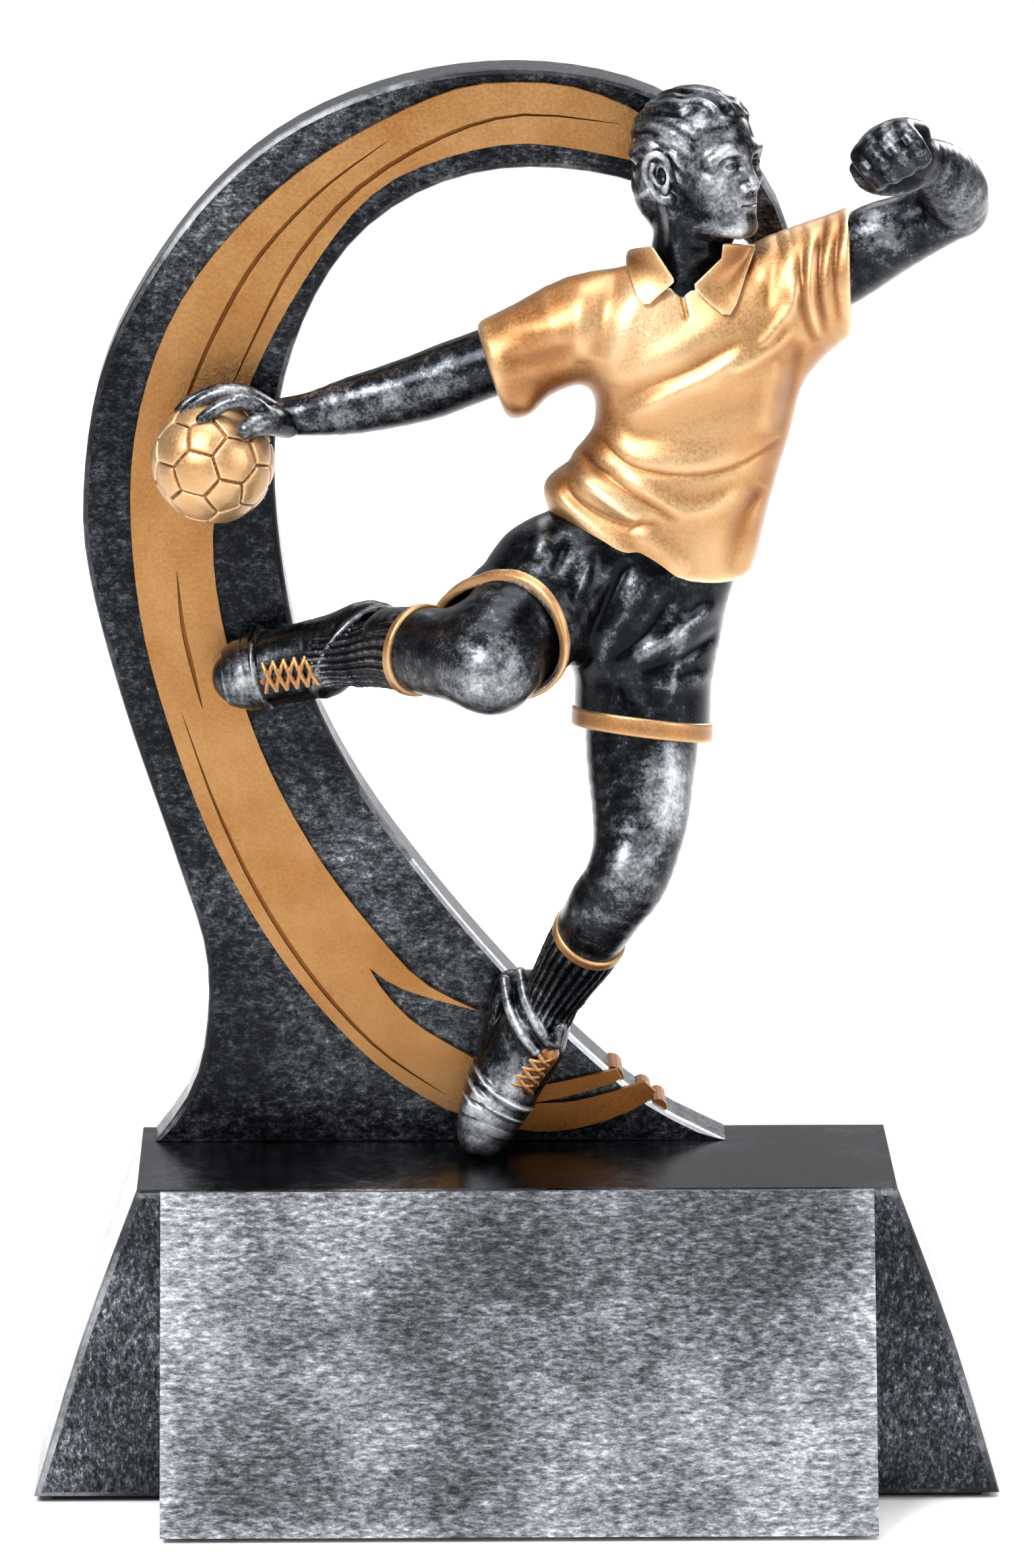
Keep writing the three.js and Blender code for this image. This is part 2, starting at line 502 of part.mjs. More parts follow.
// The plinth and the panel are bored by the same pins, moved up to the deck.
const boresOnPlinth = bores.map((bore) => bore.translate(DECK.toArray()));
const trophy = new THREE.Group();
trophy.add(node("plinth", cut(plinthBlock(), ...boresOnPlinth), silver));
trophy.add(node("front_panel", cut(namePanel(), ...boresOnPlinth), silverLight));
trophy.add(node("base_felt", feltSheet(), felt));
trophy.add(onDeck);

export default trophy;
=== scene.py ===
"""Looks of the figure trophy: a handball player in antique silver and gold before an open arch.

The plinth, panel, arch and ribbon are the CAD solids with worn, dry-brushed finishes. The figure is
sculpted here: each casting is a distance field made of limbs, folds and small forms, turned into a
dense mesh, and it stands for the plain CAD solid of the same name. Lengths are millimetres in the
deck frame of the CAD (x across, y = 0 on the arch's front, z = 0 on the plinth's top) until a mesh
is made.
"""

import math

import bpy
import numpy as np
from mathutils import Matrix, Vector


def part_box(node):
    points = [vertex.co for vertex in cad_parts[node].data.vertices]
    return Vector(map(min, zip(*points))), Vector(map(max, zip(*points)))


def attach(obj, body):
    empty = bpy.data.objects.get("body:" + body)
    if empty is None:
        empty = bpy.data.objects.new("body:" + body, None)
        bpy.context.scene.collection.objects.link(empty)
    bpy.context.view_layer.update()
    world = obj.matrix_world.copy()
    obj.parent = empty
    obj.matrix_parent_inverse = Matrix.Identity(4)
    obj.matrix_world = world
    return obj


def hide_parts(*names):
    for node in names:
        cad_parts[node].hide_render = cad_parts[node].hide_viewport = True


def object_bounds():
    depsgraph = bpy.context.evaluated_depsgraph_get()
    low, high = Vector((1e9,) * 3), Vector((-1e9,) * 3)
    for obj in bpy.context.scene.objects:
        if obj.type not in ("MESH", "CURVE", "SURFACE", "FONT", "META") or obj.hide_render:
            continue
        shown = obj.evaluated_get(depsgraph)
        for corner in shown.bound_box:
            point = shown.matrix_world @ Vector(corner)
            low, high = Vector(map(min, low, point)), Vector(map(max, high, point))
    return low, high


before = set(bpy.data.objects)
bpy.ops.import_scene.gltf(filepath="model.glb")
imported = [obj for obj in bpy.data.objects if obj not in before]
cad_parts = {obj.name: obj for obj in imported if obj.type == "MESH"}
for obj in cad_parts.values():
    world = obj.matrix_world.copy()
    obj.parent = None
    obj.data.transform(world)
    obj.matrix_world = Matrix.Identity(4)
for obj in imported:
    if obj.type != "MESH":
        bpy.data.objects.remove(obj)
cad_low, cad_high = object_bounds()

MM = 0.001
ARCH_THICK = 8 * MM
DECK = np.array([0.0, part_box("arch")[1].y - ARCH_THICK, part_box("plinth")[1].z]) / MM
TUBE_REACH = 2.0  # how far from a tube its distance is worked out
FAR = 6.0  # what its distance is taken to be beyond that
FINE = 1.0  # grids are coarser while trying things

# ---- camera ----
CAMERA = {"azimuth": -0.85, "elevation": 12.0, "distance": 1.0, "lens": 201.9}  # degrees, m, mm
AIM = Vector((0.0002, 0.00925, 0.0800))  # what the camera and most lights point at


def make_camera():
    azimuth, elevation = math.radians(CAMERA["azimuth"]), math.radians(CAMERA["elevation"])
    level = math.cos(elevation)
    back = Vector((math.sin(azimuth) * level, -math.cos(azimuth) * level, math.sin(elevation)))
    data = bpy.data.cameras.new("camera")
    data.sensor_width = 36
    data.lens = CAMERA["lens"]
    data.clip_start, data.clip_end = 0.05, 20
    camera = bpy.data.objects.new("camera", data)
    bpy.context.scene.collection.objects.link(camera)
    camera.rotation_mode = "QUATERNION"
    camera.location = AIM + back * CAMERA["distance"]
    camera.rotation_quaternion = (-back).to_track_quat("-Z", "Y")
    bpy.context.scene.camera = camera


make_camera()


# ---- distance fields ----
ACROSS, INWARD, UP = (1, 0, 0), (0, 1, 0), (0, 0, 1)


def spline(rows, per=3):
    """A smooth curve through rows of numbers, with per steps between each two."""
    p = np.asarray(rows, float)
    p = np.vstack([2 * p[0] - p[1], p, 2 * p[-1] - p[-2]])
    steps = []
    for a, b, c, d in zip(p[:-3], p[1:-2], p[2:-1], p[3:]):
        square, cube = 2 * a - 5 * b + 4 * c - d, 3 * b - a - 3 * c + d
        for t in np.arange(per) / per:
            steps.append(0.5 * (2 * b + (c - a) * t + square * t**2 + cube * t**3))
    steps.append(p[-2])
    return np.array(steps, np.float32)


def join(a, b, k=0.0):
    """The union of two fields, rounded over k."""
    if k <= 0:
        return np.minimum(a, b)
    h = np.maximum(k - np.abs(a - b), 0) / k
    return np.minimum(a, b) - h * h * k * 0.25


def meet(a, b, k=0.0):
    """What two fields share, rounded over k."""
    return -join(-a, -b, k)


def carve(a, b, k=0.0):
    """The first field less the second, rounded over k."""
    return -join(-a, b, k)


def unit(v):
    v = np.asarray(v, float)
    return v / np.linalg.norm(v)


def length_of(off):
    return np.sqrt(np.einsum("ij,ij->i", off, off))


def nearest(points, a, b):
    """How far from a to b (0 to 1) the place nearest to each point is, and the offset from it."""
    along = b - a
    off = points - a
    t = np.clip(off @ along / max(along @ along, 1e-9), 0, 1)
    return t, off - t[:, None] * along


def shell(k0, k1, least, tiny=1e-6):
    """Distance, near the surface, to an ellipsoid: k0 is the length of the offset over its radii,
    and k1 of the offset over their squares."""
    return np.where(k1 > tiny, k0 * (k0 - 1) / np.maximum(k1, tiny), -least)


def tube(points, rows, per=0):
    """Distance to a round tube through rows x, y, z, radius, smoothed with per steps between them."""
    s = spline(rows, per) if per else np.asarray(rows, np.float32)
    low = (s[:, :3] - s[:, 3:4]).min(0) - TUBE_REACH
    high = (s[:, :3] + s[:, 3:4]).max(0) + TUBE_REACH
    inside = np.all((points > low) & (points < high), axis=1)
    p = points[inside]
    best = np.full(len(p), np.inf, np.float32)
    for a, b in zip(s[:-1], s[1:]):
        t, off = nearest(p, a[:3], b[:3])
        np.minimum(best, length_of(off) - (a[3] + t * (b[3] - a[3])), out=best)
    out = np.full(len(points), FAR, np.float32)
    out[inside] = best
    return out


def with_tubes(p, d, paths, k):
    """A field with smooth tubes joined to it."""
    for path in paths:
        d = join(d, tube(p, path, per=3), k)
    return d


def ball_of(points, centre, radius):
    return length_of(points - np.asarray(centre, np.float32)) - radius


def egg(points, centre, radii, axes=None):
    """Distance, near the surface, to an ellipsoid. The rows of axes are its own directions."""
    off = points - np.asarray(centre, np.float32)
    if axes is not None:
        off = off @ np.asarray(axes, np.float32).T
    radii = np.asarray(radii, np.float32)
    k0 = np.sqrt(((off / radii) ** 2).sum(1))
    k1 = np.sqrt(((off / radii**2) ** 2).sum(1))
    return shell(k0, k1, radii.min())


def limb(points, rows, side=ACROSS, around=False):
    """Distance to a limb with elliptical sections: rows x, y, z, radius to the side and the other way.
    With around, also how far along it (0 to 1) and at what angle round it each point is."""
    s = spline([tuple(row) + (row[3],) * (5 - len(row)) for row in rows])
    best = np.full(len(points), np.inf, np.float32)
    length = np.zeros_like(best)
    angle = np.zeros_like(best)
    for i, (a, b) in enumerate(zip(s[:-1], s[1:])):
        w = unit(b[:3] - a[:3])
        u = unit(np.asarray(side, float) - np.dot(side, w) * w)
        v = np.cross(w, u)
        t, off = nearest(points, a[:3], b[:3])
        wide, deep = a[3] + t * (b[3] - a[3]), a[4] + t * (b[4] - a[4])
        least = np.minimum(wide, deep)
        du, dv, dw = (off @ axis.astype(np.float32) for axis in (u, v, w))
        k0 = np.sqrt((du / wide) ** 2 + (dv / deep) ** 2 + (dw / least) ** 2)
        k1 = np.sqrt((du / wide**2) ** 2 + (dv / deep**2) ** 2 + (dw / least**2) ** 2)
        d = shell(k0, k1, least).astype(np.float32)
        closer = d < best
        best[closer] = d[closer]
        if around:
            length[closer] = (i + t[closer]) / (len(s) - 1)
            angle[closer] = np.arctan2(dv[closer] / deep[closer], du[closer] / wide[closer])
    return (best, length, angle) if around else best


TOWER_POWER = 2.3  # 2 would make a tower's sections ellipses; more makes them squarer


def tower(points, left, right, front, back):
    """Distance to an upright body with rounded sections. Each side is a list of (height, place)."""
    height = points[:, 2]
    sides = []
    for rows in (left, right, front, back):
        s = spline(rows, 4)
        sides.append(np.interp(height, s[:, 0], s[:, 1]).astype(np.float32))
    x0, x1, y0, y1 = sides
    wide, deep = (x1 - x0) / 2, (y1 - y0) / 2
    dx, dy = (points[:, 0] - (x0 + x1) / 2) / wide, (points[:, 1] - (y0 + y1) / 2) / deep
    k0 = (np.abs(dx) ** TOWER_POWER + np.abs(dy) ** TOWER_POWER) ** (1 / TOWER_POWER)
    k1 = np.sqrt((dx / wide) ** 2 + (dy / deep) ** 2)
    d = shell(k0, k1, np.minimum(wide, deep), 1e-4)
    return np.maximum(d, np.maximum(height - left[-1][0], left[0][0] - height))


def beyond(points, at, normal):
    """How far a point is past a plane."""
    return (points - np.asarray(at, np.float32)) @ unit(normal).astype(np.float32)


FOLD_FADE = 0.25  # the share of a fold's length over which each end of it fades


def fold(points, path, height, left, right):
    """The height of a fold in cloth along a path in x and z: a ridge, or a crease if height is below 0.
    It falls off over left on its left side and over right on the other, and fades at both ends."""
    s = spline(path)
    p = points[:, [0, 2]]
    best = np.full(len(p), 1e9, np.float32)
    sign = np.ones_like(best)
    share = np.zeros_like(best)
    for i, (a, b) in enumerate(zip(s[:-1], s[1:])):
        t, off = nearest(p, a, b)
        away = np.einsum("ij,ij->i", off, off)
        closer = away < best
        best[closer] = away[closer]
        turn = (b[0] - a[0]) * (p[:, 1] - a[1]) - (b[1] - a[1]) * (p[:, 0] - a[0])
        sign[closer] = np.sign(turn[closer])
        share[closer] = (i + t[closer]) / (len(s) - 1)
    d = np.sqrt(best) * sign
    width = np.where(d > 0, left, right)
    ends = np.clip(np.minimum(share, 1 - share) / FOLD_FADE, 0, 1)
    return height * np.exp(-((d / width) ** 2)) * ends * (2 - ends)


def folded(points, folds):
    """The height of all these folds together."""
    total = np.zeros(len(points), np.float32)
    for row in folds:
        total += fold(points, *row)
    return total


def polygon_off(points, corners):
    """Signed distance in x and z to a many-sided outline, below 0 inside it."""
    p = points[:, [0, 2]]
    c = np.asarray(corners, np.float32)
    best = np.full(len(p), 1e9, np.float32)
    inside = np.zeros(len(p), bool)
    for a, b in zip(c, np.roll(c, -1, 0)):
        _, off = nearest(p, a, b)
        np.minimum(best, np.einsum("ij,ij->i", off, off), out=best)
        spans = (a[1] > p[:, 1]) != (b[1] > p[:, 1])
        cross = a[0] + (p[:, 1] - a[1]) * (b[0] - a[0]) / (b[1] - a[1] if b[1] != a[1] else 1e-9)
        inside ^= spans & (p[:, 0] < cross)
    return np.sqrt(best) * np.where(inside, -1, 1)


LATTICE_SIZE = 32
LATTICE = np.random.default_rng(7).random((LATTICE_SIZE,) * 3).astype(np.float32)


def noise(points, size):
    """Smooth noise from -1 to 1 with features of about size."""
    q = points / size + 100.0
    cell = np.floor(q).astype(np.int32)
    f = q - cell
    f = f * f * (3 - 2 * f)
    out = np.zeros(len(points), np.float32)
    for corner in np.ndindex(2, 2, 2):
        weight = np.prod([f[:, k] if c else 1 - f[:, k] for k, c in enumerate(corner)], axis=0)
        x, y, z = ((cell[:, k] + corner[k]) % LATTICE_SIZE for k in range(3))
        out += weight * LATTICE[x, y, z]
    return out * 2 - 1


# ---- from a field to a mesh ----
COARSE = 4  # fine steps in one coarse step
NEAR = 1.1  # coarse steps from the surface within which the field is worked out in full
PROBE = 0.15  # steps that a point moves to feel the field's slope
LEAST_SLOPE_SQUARED = 0.04
MOST_MOVE = 0.7  # steps that a point may move to settle on the surface
RELIEF_ROUNDS = 24  # how often a surface is smoothed to find what stands out of it
CORNERS = np.array(list(np.ndindex(2, 2, 2)))
PAIRS = [(a, b) for a in range(8) for b in range(a + 1, 8)]
EDGES = [(a, b) for a, b in PAIRS if np.abs(CORNERS[a] - CORNERS[b]).sum() == 1]


def stretch(values, axis, count):
    """Fills in between coarse values along one axis, in a straight line."""
    step = np.arange(count)
    low = step // COARSE
    high = np.minimum(low + 1, values.shape[axis] - 1)
    share = ((step % COARSE) / COARSE).astype(np.float32)
    shape = [1, 1, 1]
    shape[axis] = count
    share = share.reshape(shape)
    return values.take(low, axis) * (1 - share) + values.take(high, axis) * share


def sampled(field, low, high, step):
    """The field on a grid. It is worked out in full only near the surface."""
    count = [int(math.ceil((h - l) / step / COARSE)) * COARSE + 1 for l, h in zip(low, high)]
    axes = [(l + step * np.arange(n)).astype(np.float32) for l, n in zip(low, count)]
    coarse = [a[::COARSE] for a in axes]
    grid = np.stack(np.meshgrid(*coarse, indexing="ij"), -1).reshape(-1, 3)
    values = field(grid).astype(np.float32).reshape([len(a) for a in coarse])
    for axis in range(3):
        values = stretch(values, axis, count[axis])
    where = np.nonzero(np.abs(values) < step * COARSE * NEAR)
    points = np.stack([axes[k][where[k]] for k in range(3)], -1)
    values[where] = field(points)
    return values, axes


def surface(field, low, high, step):
    """Points and four-sided faces of the surface where the field is zero."""
    values, axes = sampled(field, low, high, step)
    inside = values < 0
    cells = tuple(n - 1 for n in values.shape)
    total = np.zeros(cells, np.uint8)
    for a, b, c in CORNERS:
        total += inside[a : a + cells[0], b : b + cells[1], c : c + cells[2]]
    where = np.nonzero((total > 0) & (total < 8))
    index = np.full(cells, -1, np.int64)
    index[where] = np.arange(len(where[0]))
    corner = np.stack([values[where[0] + a, where[1] + b, where[2] + c] for a, b, c in CORNERS], -1)
    place = np.zeros((len(where[0]), 3), np.float32)
    hits = np.zeros(len(place), np.float32)
    for a, b in EDGES:
        fa, fb = corner[:, a], corner[:, b]
        crossed = (fa < 0) != (fb < 0)
        t = np.where(crossed, fa / np.where(crossed, fa - fb, 1), 0)
        at = CORNERS[a] + t[:, None] * (CORNERS[b] - CORNERS[a])
        place += at * crossed[:, None]
        hits += crossed
    place /= hits[:, None]
    points = np.stack([axes[k][0] + (where[k] + place[:, k]) * step for k in range(3)], -1)
    faces = []
    for axis in range(3):
        one, two = (axis + 1) % 3, (axis + 2) % 3
        here, there = [slice(None)] * 3, [slice(None)] * 3
        here[axis], there[axis] = slice(0, -1), slice(1, None)
        at = np.array(np.nonzero(inside[tuple(here)] != inside[tuple(there)]))
        keep = (at[one] > 0) & (at[two] > 0) & (at[one] < cells[one]) & (at[two] < cells[two])
        at = at[:, keep]
        quad = []
        for back_one, back_two in ((0, 0), (1, 0), (1, 1), (0, 1)):
            back = np.zeros((3, 1), int)
            back[one], back[two] = back_one, back_two
            quad.append(index[tuple(at - back)])
        quad = np.stack(quad, -1)
        flip = ~inside[tuple(at)]
        quad[flip] = quad[flip][:, ::-1]
        faces.append(quad)
    faces = np.concatenate(faces)
    faces = faces[(faces >= 0).all(1)]
    return settle(field, points.astype(np.float32), step), faces


def settle(field, points, step):
    """Moves points onto the surface, along the field's slope."""
    small = PROBE * step
    value = field(points)
    moves = small * np.eye(3, dtype=np.float32)
    slope = np.stack([(field(points + move) - value) / small for move in moves], -1)
    size = np.maximum(np.einsum("ij,ij->i", slope, slope), LEAST_SLOPE_SQUARED)
    move = -(value / size)[:, None] * slope
    far = np.maximum(np.linalg.norm(move, axis=1) / (MOST_MOVE * step), 1)
    return points + move / far[:, None]


def relief(points, faces):
    """How far each point stands out of the smoothed surface: above 0 on ridges, below in creases."""
    pairs = np.concatenate([faces[:, [k, (k + 1) % 4]] for k in range(4)])
    ends, starts = np.concatenate([pairs, pairs[:, ::-1]]).T
    count = len(points)
    share = 1 / np.maximum(np.bincount(ends, minlength=count), 1)
    normal = np.zeros((count, 3))
    across = np.cross(*(points[faces[:, k + 2]] - points[faces[:, k]] for k in range(2)))
    for corner in range(4):
        for k in range(3):
            normal[:, k] += np.bincount(faces[:, corner], across[:, k], count)
    normal /= np.maximum(np.linalg.norm(normal, axis=1, keepdims=True), 1e-12)
    smooth = points.astype(float)
    for _ in range(RELIEF_ROUNDS):
        sums = [np.bincount(ends, smooth[starts, k], count) for k in range(3)]
        smooth = np.stack([total * share for total in sums], -1)
    return np.einsum("ij,ij->i", points - smooth, normal)


# ---- where the finishes are worn ----
# Where silver was brushed on by hand, in part laid on as painted highlight: place, reach, share.
BRUSHED_AND_HIGHLIGHTS = [
    ((25, -18, 113.5), 4.6, 0.95),  # cheek and brow
    ((24, -17, 108), 2.6, 0.75),  # jaw
    ((20.6, -19, 120), 4.8, 0.75),  # hair over the forehead
    ((15.8, -16, 117), 3.6, 0.65),  # hair over the ear
    ((15.4, -15.4, 112.6), 2.2, 0.9),  # ear
    ((49, -20, 112.5), 5.0, 0.4),  # left forearm
    ((40.6, -16, 108.6), 2.6, 0.45),
    ((41.5, -29, 119.4), 3.0, 0.5),  # knuckles
    ((-8, -12.4, 90), 2.6, 0.4),  # right arm
    ((-14, -11.4, 88.6), 2.8, 0.45),
    ((-20, -10, 87), 2.4, 0.45),
    ((-32, -10.4, 89), 3.4, 0.75),  # right fingers
    ((-29, -12.6, 86), 2.0, 0.7),
    ((-3.6, -29, 60.0), 4.4, 0.7),  # right knee
    ((-9.6, -22.4, 58.6), 3.4, 0.5),
    ((17.4, -19.6, 48.6), 2.8, 1.1),  # left thigh and knee
    ((16.8, -21, 44), 3.2, 1.15),
    ((13.4, -23.6, 38.8), 3.4, 0.6),
    ((10.4, -21.6, 33.0), 2.2, 0.35),
    ((-3.6, -10, 4.6), 4.6, 1.3),  # toes
    ((-0.2, -10, 8.8), 2.8, 0.8),
    ((-30.6, -9.6, 56.4), 2.8, 0.9),
    ((1.0, -10, 16.4), 3.2, 0.8),  # straps of the left shoe
    ((-22, -11, 57), 2.0, 0.6),
    ((17.6, -20.6, 63), 3.6, 0.4),  # shorts
    ((4.4, -20, 71.5), 3.4, 0.4),
]

# Where shade is painted on the gold in brown, or below 0 a highlight is painted pale: place, reach,
# share.
PAINTED_SHADE_AND_HIGHLIGHT = [
    # the chest and belly spots, below 0, are painted highlight; the rest are painted shade
    ((14.3, -18, 97.6), 5.0, -0.8),  # chest and belly
    ((19.6, -19, 84.2), 5.0, -0.3),
    ((21.6, -19, 72.4), 4.5, -0.4),
    ((10, -17, 78.2), 3.0, -0.6),
    ((0, -12, 88), 3.2, 1.0),  # right sleeve
    ((4.1, -12, 91.6), 2.8, 0.8),
    ((6, -12, 103), 3.6, 0.6),
    ((1.6, -14, 97.4), 3.8, 0.7),
    ((-2, -14, 94), 3.0, 0.4),
    ((8.7, -14, 88.5), 3.0, 0.8),  # right flank and waist
    ((8.5, -16, 83), 2.2, 0.8),
    ((5, -15, 79.6), 2.6, 0.8),
    ((32, -15, 94.3), 3.0, 0.6),  # left flank
    ((30.7, -15, 90), 3.0, 0.5),
    ((29.5, -15, 84), 2.8, 0.6),
    ((27.4, -16, 79), 3.0, 0.6),
    ((25.6, -17, 74.4), 2.8, 0.7),
    ((35.5, -15, 106), 3.2, 0.7),  # left sleeve
    ((34, -15, 100.6), 3.2, 0.5),
    ((29, -15, 104), 3.0, 0.3),
    ((12.8, -15, 105), 2.6, 0.6),  # beside the collar
    ((23.6, -15, 105.4), 2.6, 0.6),
]

PAINTED_SHADE_DEPTH = 3  # painted shade and highlight spots reach this much further from front to back than across
MOST_TONE = 1.2


def toned(points, spots, depth):
    """The sum of soft spots at each point; depth says how far they reach from front to back."""
    out = np.zeros(len(points), np.float32)
    for place, reach, share in spots:
        off = (points - np.asarray(place, np.float32)) / (1, depth, 1)
        out += share * np.exp(-np.einsum("ij,ij->i", off, off) / reach**2)
    return np.clip(out, -MOST_TONE, MOST_TONE)


def sculpt(field, step, material):
    """Makes a cast piece from a field, in the box of the CAD node of the same name and a margin."""
    node = field.__name__
    margin = WIDE_MARGINS.get(node, MARGIN)
    low, high = (np.array(corner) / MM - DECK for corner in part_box(node))
    points, faces = surface(field, low - margin, high + margin, step * FINE)
    mesh = bpy.data.meshes.new("cast_" + node)
    mesh.vertices.add(len(points))
    mesh.vertices.foreach_set("co", ((points + DECK) * MM).astype(np.float32).ravel())
    mesh.loops.add(faces.size)
    mesh.loops.foreach_set("vertex_index", faces.astype(np.int32).ravel())
    mesh.polygons.add(len(faces))
    mesh.polygons.foreach_set("loop_start", np.arange(0, faces.size, 4, dtype=np.int32))
    mesh.polygons.foreach_set("use_smooth", np.ones(len(faces), bool))
    mesh.update(calc_edges=True)
    mesh.validate()
    stands_out = mesh.attributes.new("relief", "FLOAT", "POINT")
    stands_out.data.foreach_set("value", relief(points, faces).astype(np.float32))
    # tone: brushed silver, in part painted highlight, on the figure's silver; painted shade and
    # highlight on the gold
    tone = mesh.attributes.new("tone", "FLOAT", "POINT")
    tone.data.foreach_set("value", toned(points, *TONES.get(material, (PAINTED_SHADE_AND_HIGHLIGHT, PAINTED_SHADE_DEPTH))))
    mesh.materials.append(material)
    piece = bpy.data.objects.new("cast_" + node, mesh)
    bpy.context.scene.collection.objects.link(piece)
    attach(piece, "root")
    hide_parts(node)


# ---- finishes ----
def new_material(name):
    """A new material, with a helper that adds a node to it and one that sets the shader's inputs."""
    material = bpy.data.materials.new(name)
    material.use_nodes = True
    tree = material.node_tree

    def feed(node, values):
        for socket, value in dict(values).items():
            if isinstance(value, bpy.types.NodeSocket):
                tree.links.new(value, node.inputs[socket])
            else:
                node.inputs[socket].default_value = value

    def add(kind, values=(), **settings):
        node = tree.nodes.new("ShaderNode" + kind)
        for key, value in settings.items():
            setattr(node, key, value)
        feed(node, values)
        return node

    return material, add, lambda values: feed(tree.nodes["Principled BSDF"], values)


def ramp(add, value, stops):
    """A colour ramp: stops are (place, colour), or (place, grey)."""
    made = add("ValToRGB", {"Fac": value})
    points = made.color_ramp.elements
    while len(points) < len(stops):
        points.new(0.5)
    for point, (place, colour) in zip(points, stops):
        point.position = place
        point.color = (*colour, 1) if isinstance(colour, tuple) else (colour, colour, colour, 1)
    return made.outputs["Color"]


def maths(add, kind, a, b):
    return add("Math", {0: a, 1: b}, operation=kind).outputs[0]


def shifted(add, level, value, factor):
    """level plus factor times value."""
    return add("Math", {0: value, 1: factor, 2: level}, operation="MULTIPLY_ADD").outputs[0]


def bumped(add, height, strength):
    """A small bump that follows height."""
    values = {"Height": height, "Strength": strength, "Distance": BUMP_DEPTH}
    return add("Bump", values).outputs["Normal"]


def speckle(add, scale, detail, rough, stretch_by=(1, 1, 1)):
    """Noise from 0 to 1 with about scale features in a metre."""
    where = add("TexCoord").outputs["Object"]
    where = add("Mapping", {"Vector": where, "Scale": stretch_by}).outputs["Vector"]
    values = {"Vector": where, "Scale": scale, "Detail": detail, "Roughness": rough}
    return add("TexNoise", values).outputs["Fac"]


BLACK = (0.004, 0.0046, 0.006)
FIGURE_SPAN = 0.22  # mm of relief that takes the silver from a crease's to a ridge's
GOLD_SPAN = 0.30  # and the gold
BUMP_DEPTH = 0.0001


def relief_share(add, span):
    """The sculpted relief, from 0 in creases to 1 on ridges."""
    raw = add("Attribute", attribute_name="relief").outputs["Fac"]
    values = {"Value": raw, "From Min": -span, "From Max": span, "To Min": 0.0, "To Max": 1.0}
    return add("MapRange", values).outputs["Result"]


def mixture(add, level, parts):
    """level plus each part's share of how far it is from its middle."""
    for value, share in parts:
        level = maths(add, "ADD", level, shifted(add, -share / 2, value, share))
    return level


SILVER_STOPS = [
    (0.30, BLACK), (0.50, (0.017, 0.019, 0.023)), (0.72, (0.15, 0.156, 0.168)),
    (1.0, (0.50, 0.51, 0.525)),
]


def figure_silver():
    """Black with silver brushed over what stands out."""
    material, add, finish = new_material("antique_silver_figure")
    worn = speckle(add, 520, 6.0, 0.70)
    fine = speckle(add, 2600, 3.0, 0.7)
    brush_and_highlight = add("Attribute", attribute_name="tone").outputs["Fac"]
    level = mixture(add, 0.345, [(relief_share(add, FIGURE_SPAN), 0.66), (worn, 0.9), (fine, 0.5)])
    # the tone adds brushed silver, in part as painted highlight
    level = shifted(add, level, brush_and_highlight, 0.42)
    finish({
        "Base Color": ramp(add, level, SILVER_STOPS),
        "Roughness": ramp(add, level, [(0.3, 0.20), (0.9, 0.50)]),
        "Metallic": 0.85,
        "Specular IOR Level": 0.3,
        "Normal": bumped(add, fine, 0.12),
    })
    return material


GOLD_STOPS = [
    (0.05, (0.09, 0.025, 0.003)),
    (0.30, (0.25, 0.098, 0.021)),
    (0.54, (0.39, 0.215, 0.086)),
    (0.82, (0.55, 0.370, 0.200)),
    (1.0, (0.72, 0.560, 0.370)),
]


def satin_gold(name, warm=0.0, sculpted=True):
    """Gold paint with a fine sparkle, orange where it lies in creases."""
    material, add, finish = new_material(name)
    fine = speckle(add, 3000, 2.0, 0.6)
    patch = speckle(add, 120, 3.0, 0.55)
    # flat pieces sit at a lower, darker level than sculpted ones: painted shade for the darker
    # surroundings their flat faces reflect
    start = relief_share(add, GOLD_SPAN) if sculpted else 0.43
    level = mixture(add, start, [(patch, 0.3), (fine, 0.25)])
    level = maths(add, "SUBTRACT", level, warm)
    if sculpted:
        # painted shade from the tone darkens the gold; below 0 it paints a paler highlight
        painted_shade = add("Attribute", attribute_name="tone").outputs["Fac"]
        level = shifted(add, level, painted_shade, -0.34)
    finish({
        "Base Color": ramp(add, level, GOLD_STOPS),
        "Roughness": ramp(add, fine, [(0.3, 0.38), (0.7, 0.52)]),
        "Metallic": 0.85 if sculpted else 1.0,
        "Coat Weight": 0.5 if sculpted else 0.1,
        "Coat Roughness": 0.34,
        "Normal": bumped(add, fine, 0.25),
    })
    return material


BLOCK_STOPS = [
    (0.30, BLACK), (0.50, (0.018, 0.020, 0.024)), (0.72, (0.075, 0.08, 0.09)),
    (1.0, (0.38, 0.39, 0.41)),
]
PANEL_STOPS = [
    (0.16, (0.030, 0.032, 0.037)), (0.42, (0.105, 0.11, 0.12)), (0.66, (0.25, 0.26, 0.28)),
    (1.0, (0.64, 0.65, 0.67)),
]
# EDGE: worn bright edges, and where laid on the arch's inner edge at its foot a painted highlight
EDGE_STOPS = [(0.10, (0.16, 0.165, 0.175)), (0.50, (0.50, 0.51, 0.53)), (0.9, (0.80, 0.81, 0.83))]
RIM_STOPS = [
    (0.25, (0.012, 0.013, 0.016)), (0.48, (0.045, 0.047, 0.053)), (0.68, (0.17, 0.175, 0.185)),
    (1.0, (0.36, 0.37, 0.385)),
]


